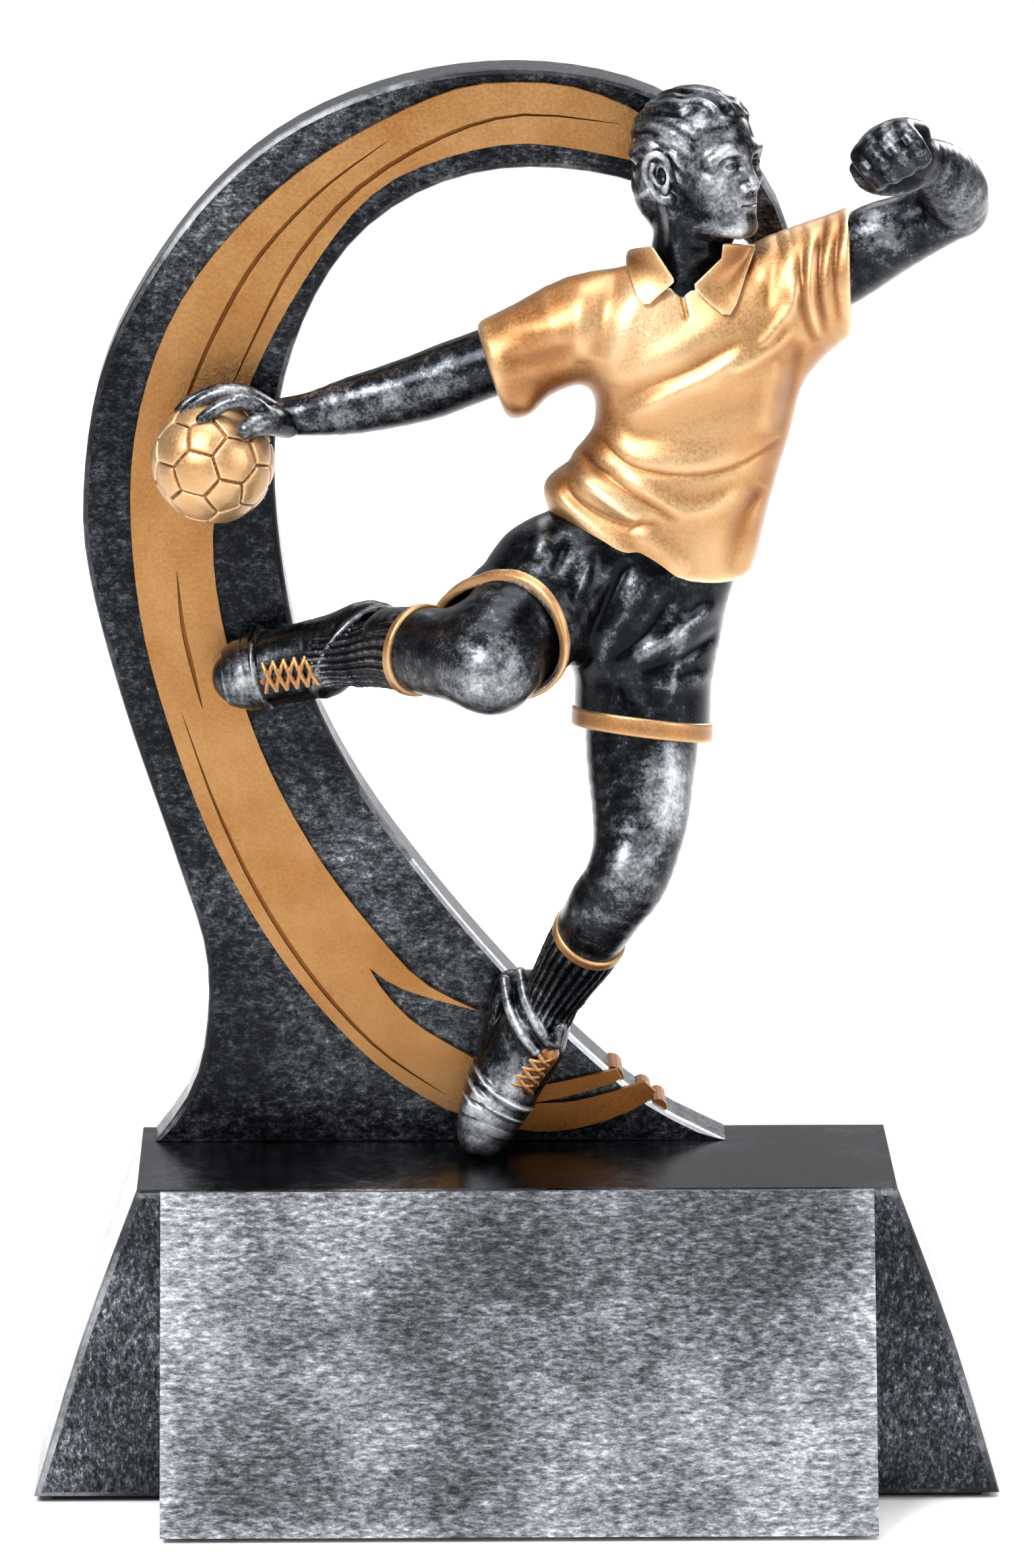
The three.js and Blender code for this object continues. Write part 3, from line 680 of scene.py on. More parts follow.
def toward_edges(add, piece, reach):
    """0 over a piece's front, rising to 1 at its left, right and lower edges."""
    box = np.array(piece.bound_box)
    low, high = box.min(0), box.max(0)
    place = add("SeparateXYZ", {0: add("TexCoord").outputs["Object"]}).outputs
    off = maths(add, "SUBTRACT", place[0], float((low[0] + high[0]) / 2))
    off = add("Math", {0: off}, operation="ABSOLUTE").outputs[0]
    half = float(high[0] - low[0]) / 2
    foot = float(low[2])
    rises = ((off, half - reach, half), (place[2], foot + reach, foot))
    shares = [
        add("MapRange", {"Value": value, "From Min": start, "From Max": end}).outputs["Result"]
        for value, start, end in rises
    ]
    return maths(add, "MAXIMUM", *shares)


def brushed_block(name, stops, streak, shares, rough, lit=None):
    """Black with silver dragged across it in short strokes, for the flat faces. The edges of the
    piece lit are brighter."""
    material, add, finish = new_material(name)
    cloud = speckle(add, 45, 3.0, 0.5)
    stroke = speckle(add, 700, 7.0, 0.76, streak)
    scratch = speckle(add, 1700, 4.0, 0.8, streak)
    level = mixture(add, 0.5, zip((cloud, stroke, scratch), shares))
    if lit:
        level = shifted(add, level, toward_edges(add, lit, 3 * MM), 0.13)
    finish({
        "Base Color": ramp(add, level, stops),
        "Roughness": ramp(add, level, [(0.3, rough), (0.9, rough + 0.18)]),
        "Metallic": 0.9,
        "Normal": bumped(add, scratch, 0.15),
    })
    return material


def plain(name, colour, metallic, roughness):
    material, _, finish = new_material(name)
    finish({"Base Color": (*colour, 1), "Metallic": metallic, "Roughness": roughness})
    return material


SILVER_FIGURE = figure_silver()
GOLD = satin_gold("satin_gold")
GOLD_FLAT = satin_gold("satin_gold_flat", sculpted=False)
GOLD_BAND = satin_gold("satin_gold_bands", warm=0.2)
GOLD_WARM = satin_gold("orange_gold", warm=0.32)
GOLD_WARM_FLAT = satin_gold("orange_gold_flat", warm=0.2, sculpted=False)
GOLD_GROOVE = satin_gold("orange_gold_grooves", warm=0.24, sculpted=False)
BLOCK = brushed_block("antique_silver_block", BLOCK_STOPS, (1, 1, 1.5), (0.9, 1.5, 1.1), 0.24)
PLINTH = brushed_block("antique_silver_plinth", BLOCK_STOPS, (1.6, 1, 1), (1.0, 1.7, 1.3), 0.15)
PLINTH_TOP = brushed_block("antique_silver_deck", BLOCK_STOPS, (1, 1, 1), (1.8, 0.8, 0.4), 0.17)
PANEL = brushed_block(
    "brushed_silver_panel",
    PANEL_STOPS,
    (1, 2.6, 2.6),
    (0.9, 1.7, 0.7),
    0.30,
    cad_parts["front_panel"],
)
EDGE = brushed_block("worn_and_highlit_edge", EDGE_STOPS, (1, 1, 1), (0.4, 0.6, 0.5), 0.28)
RIM = brushed_block("worn_rim", RIM_STOPS, (1, 1, 1), (2.2, 0.8, 0.5), 0.48)
STEEL = plain("steel", (0.6, 0.6, 0.62), 1.0, 0.35)
FELT = plain("felt", (0.02, 0.02, 0.022), 0.0, 0.95)
TONES = {SILVER_FIGURE: (BRUSHED_AND_HIGHLIGHTS, 1)}  # the others get painted shade and highlight


# ---- the shirt ----
# The torso's outline on each side: height, then x or y.
TORSO_LEFT = [
    (62, 5.5), (70, 4.4), (75, 3.9), (77.6, 3.2), (79.2, 3.3), (80.4, 4.4), (81.4, 5.8),
    (82.6, 6.5), (84, 7.7), (85.4, 8.6), (87.4, 8.9), (91, 8.8), (96, 9.0), (99, 9.8), (101.6, 12),
    (103.6, 14.4), (105, 16),
]
TORSO_RIGHT = [
    (62, 25.4), (67.7, 26.3), (72, 27.2), (75.8, 28.1), (79, 28.9), (82.5, 30), (86, 31),
    (90, 31.8), (94, 32.2), (98, 31.2), (101, 28), (103, 24.8), (105, 22),
]
TORSO_FRONT = [
    (62, -19.4), (70, -19.6), (76, -19.6), (80, -19.3), (84, -18.8), (88, -18.9), (92, -19.2),
    (95, -18.9), (98, -18.1), (101, -16.9), (103.5, -15.4), (105, -14.5),
]
TORSO_BACK = [
    (62, -4), (76, -3.7), (84, -4), (93, -3.4), (98, -3.7), (101, -5.2), (103.6, -7.2), (105, -8),
]
RIGHT_SLEEVE = [
    (13.5, -11, 97.6, 6.0, 5.8), (7.6, -10.8, 96.7, 5.9, 5.8), (2.6, -10.1, 94.4, 5.5, 5.5),
    (-1.6, -9.6, 92.1, 5.6, 5.4), (-5, -9.2, 90.2, 5.6, 5.4),
]
RIGHT_CUFF = ((-2.8, -9.5, 91.6), (-0.95, 0.0, -0.31))
LEFT_SLEEVE = [
    (25.6, -11.2, 97, 6.4, 6.2), (30, -11.4, 99.6, 7.4, 6.3), (33.8, -11.7, 101.8, 6.9, 6.1),
    (37.4, -12, 103.5, 6.5, 6.0), (41, -12.4, 105.2, 6.3, 6.0),
]
LEFT_CUFF = ((37.4, -12, 103.6), (1.0, -0.06, 0.02))
SLEEVE_SAG = ((0.4, -11.0, 89.2), (2.2, 3.4, 2.5))  # loose cloth under the right cuff

# Folds on the chest: path in x and z, height, width on the left of the path and on its right.
CHEST_FOLDS = [
    ([(26.4, 95.8), (21.5, 92.4), (17, 90.2), (12.0, 87.4)], 0.45, 1.6, 0.8),
    ([(25.2, 96.6), (19.5, 93.4), (15, 91.6), (11, 89.4)], -0.26, 0.7, 1.4),
    ([(24, 99.6), (18, 95.6), (13, 92.6), (9.6, 90.6)], 0.26, 1.7, 1.5),
    ([(12, 84.8), (16.6, 86.6), (22, 88.6), (28, 90.4)], -0.16, 1.8, 1.6),
    (
        [(9.0, 85.4), (12.0, 82.6), (15.6, 81.6), (20.6, 81.4), (25.6, 82.6), (30.4, 85.4)],
        -0.22,
        0.35,
        0.45,
    ),
    ([(9.2, 86.6), (12.2, 84.0), (15.6, 83.0), (20.6, 82.8), (25, 84)], 0.24, 1.6, 0.9),
    ([(6.4, 81.6), (8.6, 79.6), (10.9, 78.0), (13.8, 76.2)], 0.62, 1.1, 0.8),
    ([(7.0, 83.6), (9.0, 81.6), (11.4, 80.0), (14.4, 78.4), (18.4, 76.2)], -0.42, 0.8, 0.5),
    ([(11.8, 81.0), (15.2, 78.8), (18.2, 77.3), (21.6, 77.6), (26.2, 79.6)], 0.36, 0.9, 1.2),
    ([(5.0, 80.2), (7.4, 77.8), (10.2, 76.4), (13.0, 75.8), (16.2, 76.2)], -0.28, 0.5, 0.8),
    ([(3.4, 79.4), (6.2, 76.8), (9.6, 74.2), (13.4, 72.0)], 0.46, 0.9, 1.2),
    ([(13, 75.2), (16.4, 72.6), (19, 70)], 0.28, 1.0, 1.2),
    ([(31.3, 103.8), (30.6, 100), (28.4, 96.8), (26.2, 94.8)], 0.42, 0.8, 0.9),
    ([(31.2, 97.8), (28.8, 95.6), (26.2, 94.0), (23.6, 92.8)], 0.28, 0.6, 0.8),
    ([(30.2, 98.6), (28.4, 96.1), (26.4, 95.2)], -0.2, 0.5, 0.5),
    ([(31.6, 96.4), (30.6, 91), (29.4, 85)], -0.36, 0.9, 1.3),
    ([(29.2, 94), (28.2, 89.6), (27.6, 85.4)], 0.26, 1.3, 1.3),
    ([(27.4, 79.6), (24.8, 75.4), (24, 69.6)], -0.34, 0.9, 1.3),
    ([(29, 81), (27, 75.6), (26.4, 70)], 0.26, 0.9, 0.9),
    ([(11.6, 103.4), (9.8, 99), (9.0, 94)], -0.32, 1.1, 1.1),
    ([(13.6, 102.4), (11.8, 97.4), (10.2, 91)], 0.26, 1.4, 1.2),
    ([(7.4, 103), (7.0, 98.4), (7.4, 93.4)], 0.22, 1.1, 1.1),
    ([(-2.6, 98), (1.6, 97.4), (6.2, 97.4)], 0.26, 1.7, 1.5),
    ([(-1.6, 93.2), (2.6, 94.2), (6.8, 95)], -0.3, 1.0, 1.3),
    ([(31.8, 107), (31.7, 100.4), (33.4, 95.6)], -0.34, 0.6, 0.6),
    ([(34.4, 109.4), (33.5, 103.3), (34.5, 96.6)], -0.32, 0.5, 0.6),
    ([(36.2, 110), (35.3, 104), (36.0, 97.6)], -0.26, 0.4, 0.5),
    ([(29.8, 107.6), (28.4, 103), (27.6, 99.4)], -0.26, 0.8, 0.9),
    ([(33, 108.6), (32.5, 102), (33.6, 96.2)], 0.26, 0.6, 0.6),
    ([(18.4, 102.2), (18.5, 100.4), (19.0, 98.4)], -0.32, 0.3, 0.3),
]
NECK_OPENING = [
    (12.6, 112), (14.4, 106.6), (17.7, 101.4), (18.3, 101.0), (19.2, 101.7), (23.6, 106.6),
    (24.6, 112),
]
NECK_HOLE = [(18.9, -12.2, 110, 5.2), (18.7, -12.2, 101, 4.2)]
BODY_DEPTH = -12  # y of the middle of the body
SHIRT_HEM = {"height": 76.2, "at": 3.8, "drop_to_left": 0.265, "rise_to_back": 0.42}
HEM_SLANT = 0.88  # turns a height above or below the slanted hem into a distance from it
FOLDS_TURN, FOLDS_BLEND = -10.6, 3  # y where the front's folds give way to the back's, and over how far
FOLDS_REACH = 2.5  # folds are worked out this near to the cloth
BACK_FOLDS = [
    ([(28, 96), (22, 91.6), (16, 89)], 0.45, 1.3, 0.9),
    ([(11, 97), (15, 91.6), (21, 88.6)], 0.4, 1.2, 1.0),
    ([(8.6, 84.6), (14, 82), (21, 81.6), (29.6, 84.4)], -0.5, 0.6, 0.7),
    ([(5, 80.4), (10, 77.8), (16, 77.6)], 0.45, 1.0, 0.9),
    ([(30, 80), (26, 76.4), (20, 75.4)], 0.4, 1.0, 0.9),
    ([(22.4, 102), (20.6, 96), (20.2, 90)], -0.3, 1.0, 1.0),
    ([(34.4, 108), (33.6, 102), (34.8, 97)], -0.4, 0.6, 0.6),
    ([(31.6, 106), (31.4, 100), (32.8, 96)], -0.4, 0.6, 0.6),
    ([(2, 98.6), (6, 96), (9, 92)], -0.35, 1.0, 1.0),
]


def shirt_solid(p):
    """The shirt without its folds or its openings."""
    body = tower(p, TORSO_LEFT, TORSO_RIGHT, TORSO_FRONT, TORSO_BACK)
    right = join(limb(p, RIGHT_SLEEVE, UP), egg(p, *SLEEVE_SAG), 1.6)
    right = meet(right, beyond(p, *RIGHT_CUFF), 1.1)
    left = meet(limb(p, LEFT_SLEEVE, UP), beyond(p, *LEFT_CUFF), 0.5)
    return join(join(body, right, 3.2), left, 4.0)


def shirt_hem(p):
    """How far below the shirt's hem a point is: the hem dips to the front and to the left side."""
    x, y, z = p.T
    hem = SHIRT_HEM["height"] - SHIRT_HEM["drop_to_left"] * (x - SHIRT_HEM["at"])
    hem = hem + SHIRT_HEM["rise_to_back"] * (y - BODY_DEPTH)
    return (hem - z) * HEM_SLANT


def shirt(p):
    d = shirt_solid(p)
    front = np.clip((FOLDS_TURN - p[:, 1]) / FOLDS_BLEND, 0, 1)
    back = np.clip((p[:, 1] - FOLDS_TURN) / FOLDS_BLEND, 0, 1)
    close = np.abs(d) < FOLDS_REACH
    for folds, facing in ((CHEST_FOLDS, front), (BACK_FOLDS, back)):
        here = close & (facing > 0)
        d[here] -= folded(p[here], folds) * facing[here]
    d = meet(d, shirt_hem(p), 0.6)
    opening = meet(polygon_off(p, NECK_OPENING), p[:, 1] - BODY_DEPTH)
    return carve(d, join(opening, tube(p, NECK_HOLE)), 0.3)


# ---- the collar ----
RIGHT_FLAP = [
    (12.4, 112), (12.2, 106), (12.3, 103.8), (13.2, 101.2), (14.0, 100.3), (14.8, 100.4),
    (17.5, 102.8), (17.4, 103.3), (14.6, 107.5), (14.2, 112),
]
LEFT_FLAP = [
    (23.4, 112), (22.7, 105.4), (19.7, 102.6), (19.8, 102.0), (21.4, 100.4), (22.8, 99.3),
    (23.7, 99.3), (24.4, 100.4), (25.7, 103.8), (27.2, 107.4), (28, 112),
]
COLLAR_STAND = [
    (18.9, -11.8, 97, 5.6, 5.2), (19.2, -11.8, 103, 5.9, 5.5), (20.2, -11.9, 112, 6.6, 5.6),
]
COLLAR_INSIDE = [
    (18.9, -11.8, 97, 4.7, 4.3), (19.2, -11.8, 103, 5.0, 4.6), (20.2, -11.9, 114, 5.7, 4.8),
]
COLLAR = {"proud": 0.85, "sunk": 0.1, "top": 105.8, "back_foot": 102.6, "middle": 19.7, "half": 7.3}


def collar(p):
    x, y, z = p.T
    under = join(shirt_solid(p), limb(p, COLLAR_STAND), 1.6)
    sheet = meet(under - COLLAR["proud"], COLLAR["sunk"] - under, 0.25)
    front = np.minimum(polygon_off(p, RIGHT_FLAP), polygon_off(p, LEFT_FLAP))
    front = meet(front, y + 11.5)
    back = meet(COLLAR["back_foot"] - 0.12 * (y - BODY_DEPTH) - z, -11.6 - y)
    back = meet(back, np.abs(x - COLLAR["middle"]) - COLLAR["half"])
    top = z - COLLAR["top"] - 0.03 * (x - 19) + 0.22 * (y - BODY_DEPTH)
    shape = meet(meet(sheet, join(front, back, 0.3), 0.25), top, 0.35)
    return carve(shape, limb(p, COLLAR_INSIDE), 0.2)


# ---- arms, hands and the ball ----
RIGHT_ARM = [
    (2.5, -10.4, 95, 3.9), (-2, -9.6, 92.9, 3.9), (-6.6, -9, 91, 3.85), (-10.6, -8.6, 89.4, 3.75),
    (-17.8, -8, 87.5, 3.3), (-22.7, -7.6, 86.4, 2.5), (-27.4, -7.1, 85.9, 2.0),
]
RIGHT_MUSCLE = [(-4, -9.8, 92.4, 2.0, 2.6), (-8.4, -9.6, 91.2, 2.3, 2.6), (-13, -9, 89.8, 1.6, 2.2)]
RIGHT_SINEW = [(-9, -10.8, 90.4, 1.5), (-16, -9.6, 88.9, 1.4), (-22, -8.4, 87.4, 1.0)]


def right_arm(p):
    d = join(limb(p, RIGHT_ARM, UP), limb(p, RIGHT_MUSCLE, UP), 2.0)
    return join(d, tube(p, RIGHT_SINEW), 1.4)


RIGHT_PALM = [(-23.8, -7.4, 86.2, 2.1), (-27.0, -7.1, 85.9, 2.3, 1.9), (-29.2, -7.2, 86.6, 2.6, 1.5)]
RIGHT_FINGERS = [
    [
        (-27.0, -9.0, 86.2, 1.2), (-28.2, -10.6, 86.9, 1.1), (-29.3, -11.6, 88.0, 1.0),
        (-30.8, -12.0, 88.6, 0.9), (-32.4, -12.0, 88.3, 0.82), (-34.0, -12.0, 87.4, 0.78),
        (-35.2, -12.0, 86.5, 0.7),
    ],
    [
        (-27.2, -7.6, 86.5, 1.3), (-28.6, -8.6, 87.6, 1.15), (-30.4, -9.1, 88.8, 1.0),
        (-32.6, -9.3, 89.1, 0.9), (-34.2, -9.3, 88.7, 0.82), (-36.0, -9.2, 87.7, 0.78),
        (-37.1, -9.1, 86.7, 0.7),
    ],
    [
        (-27.4, -6.2, 86.4, 1.3), (-28.8, -6.2, 87.5, 1.1), (-30.6, -6.2, 88.6, 0.96),
        (-32.8, -6.3, 88.9, 0.86), (-34.8, -6.3, 88.5, 0.8), (-36.8, -6.2, 87.4, 0.76),
        (-37.8, -6.2, 86.4, 0.7),
    ],
    [
        (-27.4, -5.0, 85.8, 1.1), (-28.8, -4.4, 86.8, 0.95), (-30.6, -3.8, 87.7, 0.84),
        (-32.6, -3.6, 87.9, 0.76), (-34.6, -3.6, 87.3, 0.72), (-36.2, -3.7, 86.4, 0.66),
    ],
]
RIGHT_THUMB = [
    (-25.8, -8.2, 85.3, 1.6), (-27.4, -10.8, 85.9, 1.45), (-28.9, -12.4, 86.0, 1.3),
    (-30.2, -13.1, 85.5, 1.1),
]
BALL = (-34.1, -8.0, 81.0)
BALL_RADIUS = 6.9
BALL_FACING = (-0.10, -0.82, 0.563)  # which way one five-sided panel faces
BALL_CORNER = (0.26, 0.20, 0.945)  # and which way, from its middle, one of its corners lies


def right_hand(p):
    d = with_tubes(p, limb(p, RIGHT_PALM, INWARD), RIGHT_FINGERS, 0.3)
    d = with_tubes(p, d, [RIGHT_THUMB], 0.6)
    return carve(d, ball_of(p, BALL, BALL_RADIUS + 0.04), 0.1)


def ball_panels():
    """The middles of the ball's twelve five-sided and twenty six-sided panels."""
    golden = (1 + math.sqrt(5)) / 2
    fives = [np.roll((0, a, b * golden), k) for k in range(3) for a in (1, -1) for b in (1, -1)]
    fives = np.array([unit(v) for v in fives])
    sixes = []
    for i in range(12):
        for j in range(i):
            for k in range(j):
                three = fives[[i, j, k]]
                if all(three[a] @ three[b] > 0.4 for a, b in ((0, 1), (1, 2), (0, 2))):
                    sixes.append(unit(three.sum(0)))
    return fives, np.array(sixes)


def ball_turn(fives):
    """Turns the ball so that one five-sided panel lies as BALL_FACING and BALL_CORNER say."""
    facing = unit(BALL_FACING)
    other = max((v for v in fives[1:]), key=lambda v: v @ fives[0])
    first = [fives[0], unit(other - (other @ fives[0]) * fives[0])]
    first.append(np.cross(*first))
    corner = unit(BALL_CORNER)
    corner = unit(corner - (corner @ facing) * facing)
    second = [facing, corner, np.cross(facing, corner)]
    return np.array(second).T @ np.array(first)


FIVES, SIXES = ball_panels()
TURN = ball_turn(FIVES)
FIVE_AT, SIX_AT, MEAN_AT = 2.327, 2.267, 2.3  # how far flat panels lie from the middle, in edges
PANELS = np.vstack([FIVES / FIVE_AT, SIXES / SIX_AT]) @ TURN.T * MEAN_AT
SEAM = {"deep": 0.42, "wide": 0.013}
PUFF = {"high": 0.12, "wide": 0.12}  # how the panels swell between the seams


def ball(p):
    off = p - np.asarray(BALL, np.float32)
    size = length_of(off)
    d = size - BALL_RADIUS
    close = np.abs(d) < 1.5
    direction = off[close] / np.maximum(size[close], 1e-6)[:, None]
    best = np.partition(direction @ PANELS.T.astype(np.float32), -2, axis=1)[:, -2:]
    gap = best[:, 1] - best[:, 0]
    swell = PUFF["high"] * np.clip(gap / PUFF["wide"], 0, 1)
    d[close] += SEAM["deep"] * np.exp(-((gap / SEAM["wide"]) ** 2)) - swell
    return d


LEFT_UPPER = [
    (31, -11.5, 100.6, 4.0), (36, -11.9, 103.6, 4.5, 4.4), (40.4, -12.7, 106.4, 4.3),
    (44.5, -14, 108.6, 3.8), (48.6, -15.4, 110.7, 3.4),
]
LEFT_FOREARM = [
    (48.9, -15.3, 110.9, 3.3), (48.6, -17.6, 112.8, 3.7), (47.2, -20, 115, 3.5),
    (45.6, -22.2, 116.4, 3.0), (44.2, -24, 117.3, 2.5),
]
LEFT_ELBOW = ((49.6, -15, 110.6), 2.6)
LEFT_MUSCLE = ((40.6, -14.4, 107.6), (4.2, 3.0, 2.8))


def left_arm(p):
    d = join(limb(p, LEFT_UPPER, UP), limb(p, LEFT_FOREARM, UP), 0.5)
    d = join(d, ball_of(p, *LEFT_ELBOW), 1.2)
    return join(d, egg(p, *LEFT_MUSCLE), 2.0)


LEFT_FINGERS = [
    [
        (43.8, -25.2, 120.4, 1.5), (42.1, -27.6, 121.1, 1.35), (43.2, -29.5, 119.9, 1.2),
        (44.2, -28.4, 118.2, 1.15),
    ],
    [
        (41.8, -25.4, 120.6, 1.5), (40.2, -28.1, 120.5, 1.3), (41.6, -30.0, 118.7, 1.2),
        (42.5, -28.9, 117.2, 1.1),
    ],
    [
        (40.2, -25.8, 119.8, 1.4), (38.7, -28.3, 119.5, 1.25), (40.1, -30.1, 117.8, 1.15),
        (41.1, -29.1, 116.4, 1.05),
    ],
    [
        (38.8, -25.8, 118.8, 1.3), (37.5, -27.9, 118.3, 1.1), (38.5, -29.5, 116.9, 1.05),
        (39.5, -28.7, 115.7, 1.0),
    ],
]
LEFT_THUMB = [
    (44.6, -24.6, 116.2, 1.6), (42.4, -26.4, 115.3, 1.5), (40.0, -27.3, 115.1, 1.3),
    (38.2, -27.4, 115.6, 1.1), (37.2, -27.2, 116.8, 0.85),
]
LEFT_PALM = ((41.2, -25.7, 117.9), (4.1, 3.0, 3.8))
LEFT_WRIST = [(45.4, -22.4, 116.6, 2.7), (43.4, -24.4, 117.4, 3.0)]


def left_fist(p):
    d = join(egg(p, *LEFT_PALM), tube(p, LEFT_WRIST), 1.5)
    return with_tubes(p, with_tubes(p, d, LEFT_FINGERS, 0.7), [LEFT_THUMB], 0.6)


# ---- shorts and legs ----
PELVIS = [
    (16.4, -11.7, 79, 10.6, 6.4), (15.0, -11.7, 74, 10.6, 6.9), (13.6, -11.9, 69, 10.2, 7.8),
    (13.2, -12.1, 64, 9.2, 7.6),
]
HIP = ((3.4, -13.8, 70.0), (5.6, 5.4, 5.2))
SHORTS_LEFT = [
    (14.9, -12.2, 68, 8.6, 7.6), (14.6, -12.6, 62, 8.2, 7.6), (14.3, -13, 56.6, 7.7, 7.5),
    (14.2, -13.4, 51.6, 7.7, 7.5), (14.1, -13.8, 47, 7.7, 7.4),
]
SHORTS_RIGHT = [
    (9.6, -12.4, 69.4, 7.8, 7.4), (4.3, -15.3, 67.2, 7.7, 7.9), (-0.7, -18.5, 63.9, 6.6, 8.9),
    (-3.9, -22.7, 61.3, 6.3, 8.8),
]
LEFT_HEM = ((14.2, -13.5, 50.8), (-0.13, -0.13, -1.0))
RIGHT_HEM = ((-1.2, -21.0, 63.8), (-0.56, -0.80, -0.10))
SHORTS_FOLDS = [
    ([(4, 77), (2.2, 73), (-1, 68.4)], 0.5, 0.9, 1.0),
    ([(6.4, 76), (4.6, 72), (2.0, 68.6)], -0.45, 0.7, 0.8),
    ([(8.6, 74.4), (7.4, 70.6), (5.2, 66.8)], 0.45, 0.8, 0.9),
    ([(12.6, 72), (10.4, 68), (7.6, 62.6)], -0.6, 0.8, 1.0),
    ([(14.6, 70.4), (12.2, 66.4), (9.8, 62), (9.2, 58)], 0.5, 1.0, 1.0),
    ([(17.2, 68.4), (14.4, 63.8), (10.4, 60.6)], -0.4, 0.8, 0.8),
    ([(22.6, 66.4), (18, 63.4), (12.8, 60.8)], 0.5, 1.0, 0.8),
    ([(22.8, 63), (18.6, 60.8), (13.6, 59.2)], -0.45, 0.8, 0.8),
    ([(22.4, 58.6), (18.6, 57.4), (15, 57.8)], 0.35, 0.9, 0.9),
    ([(18.6, 66), (17.6, 60), (17.2, 54.6)], 0.3, 1.0, 1.0),
    ([(11.6, 58.6), (12.4, 55.6), (12.2, 53)], -0.35, 0.8, 0.8),
]
SHORTS_FRONT = -9  # y behind which the shorts have no folds
SHIRT_COVER = 73.5  # above this height the shirt hangs over the shorts
HEM_WIDTH = 1.2  # half the width of the strip at a hem that has no folds


def shorts(p):
    left, right = limb(p, SHORTS_LEFT), limb(p, SHORTS_RIGHT, UP)
    past_left, past_right = beyond(p, *LEFT_HEM), beyond(p, *RIGHT_HEM)
    d = join(limb(p, PELVIS), egg(p, *HIP), 2.0)
    d = join(d, meet(left, past_left, 0.3), 2.4)
    d = join(d, meet(right, past_right, 0.3), 2.6)
    here = (np.abs(d) < 2) & (p[:, 1] < SHORTS_FRONT)
    q = p[here]
    height = folded(q, SHORTS_FOLDS)
    covered = SHIRT_COVER + 0.5 * np.maximum(8 - q[:, 0], 0)
    shown = np.clip((covered - q[:, 2]) / 2, 0, 1)
    height *= np.clip((SHORTS_FRONT - q[:, 1]) / 3, 0, 1) * shown
    for plane in (LEFT_HEM, RIGHT_HEM):
        to_hem = np.abs(beyond(q, *plane) + HEM_WIDTH)
        smooth = np.clip((to_hem - HEM_WIDTH) / 1.5, 0, 1)
        height *= np.where(np.abs(q[:, 0] - plane[0][0]) < 8.5, smooth, 1)
    d[here] -= height
    d -= 0.07 * noise(p, 3.4)
    d = carve(d, meet(left + 0.8, -1.6 - past_left), 0.2)
    return carve(d, meet(right + 0.6, -1.6 - past_right), 0.2)


def hem_band(p, leg, side, plane, wide):
    """A flat band round the end of a trouser leg."""
    out = limb(p, leg, side)
    past = beyond(p, *plane)
    ring = meet(out - 0.3, -(out + 0.75), 0.15)
    return meet(ring, np.abs(past + wide / 2) - wide / 2, 0.35)


def left_hem_band(p):
    return hem_band(p, SHORTS_LEFT, ACROSS, LEFT_HEM, 2.2)


def right_hem_band(p):
    return hem_band(p, SHORTS_RIGHT, UP, RIGHT_HEM, 0.95)


RIGHT_THIGH = [
    (5, -14.6, 66.6, 6.4), (-0.4, -19.6, 63.7, 6.5), (-2.6, -23.0, 62.0, 5.8), (-3.8, -25.2, 61.0, 4.7),
]
RIGHT_SHIN = [
    (-2.4, -25.4, 60.6, 4.4), (-6.4, -22, 61.2, 4.9, 4.8), (-10.4, -17.6, 61.2, 4.9, 4.7),
    (-13.6, -14, 61, 4.4, 4.2),
]
LEFT_LEG = [
    (14.6, -12.7, 60, 6.0), (14.3, -13.5, 54, 6.4), (14.1, -14.8, 48.6, 6.25, 6.3),
    (13.9, -16.8, 43, 5.45, 5.8), (13.4, -18.4, 38.6, 4.9, 5.3), (12.2, -19.2, 35.2, 4.6, 4.9),
    (10.5, -18.3, 32.4, 4.25, 4.5), (9.2, -16.2, 29.8, 4.15, 4.3), (7.9, -14, 27, 3.8, 3.9),
]
RIGHT_KNEE = ((-2.8, -26.8, 59.4), (2.8, 2.4, 2.6))
LEFT_LEG_FORMS = [
    # centre, radii, rounding: knee, thigh, shin
    ((12.5, -22.2, 36.2), (2.3, 2.0, 2.7), 1.8),
    ((16.2, -19, 44.5), (2.2, 2.6, 4.6), 2.6),
    ((8.4, -18.6, 31.4), (1.8, 2.2, 3.0), 2.0),
]


def right_leg(p):
    d = join(limb(p, RIGHT_THIGH, UP), limb(p, RIGHT_SHIN, UP), 2.4)
    return join(d, egg(p, *RIGHT_KNEE), 2.6)


def left_leg(p):
    d = limb(p, LEFT_LEG)
    for centre, radii, rounding in LEFT_LEG_FORMS:
        d = join(d, egg(p, centre, radii), rounding)
    return d


# ---- socks and shoes ----
RIGHT_SOCK = [
    (-10.4, -17.6, 61.1, 5.1, 5.0), (-13.4, -14.6, 60.6, 4.3, 4.3), (-16.6, -12.0, 59.7, 3.6, 3.6),
    (-20.2, -9.8, 58.9, 3.3, 3.3), (-24, -7, 58.0, 3.1, 3.1),
]
LEFT_SOCK = [
    (9.0, -15.7, 29.2, 4.2, 4.3), (7.4, -12.8, 25.6, 4.1, 4.0), (5.4, -10.0, 21.6, 3.5, 3.6),
    (3.7, -7.9, 17.8, 3.1, 3.3), (2.6, -6.8, 15, 3.0, 3.2),
]


def ribbed(p, rows, side, plane, count):
    """A sock with count ribs round it, wrinkled towards the shoe."""
    d, length, angle = limb(p, rows, side, around=True)
    d = d - 0.13 * np.cos(angle * count)
    d = d - 0.10 * np.sin(length * 26 + 1.2 * np.sin(angle)) * (length > 0.55)
    return meet(d, beyond(p, *plane), 0.25)


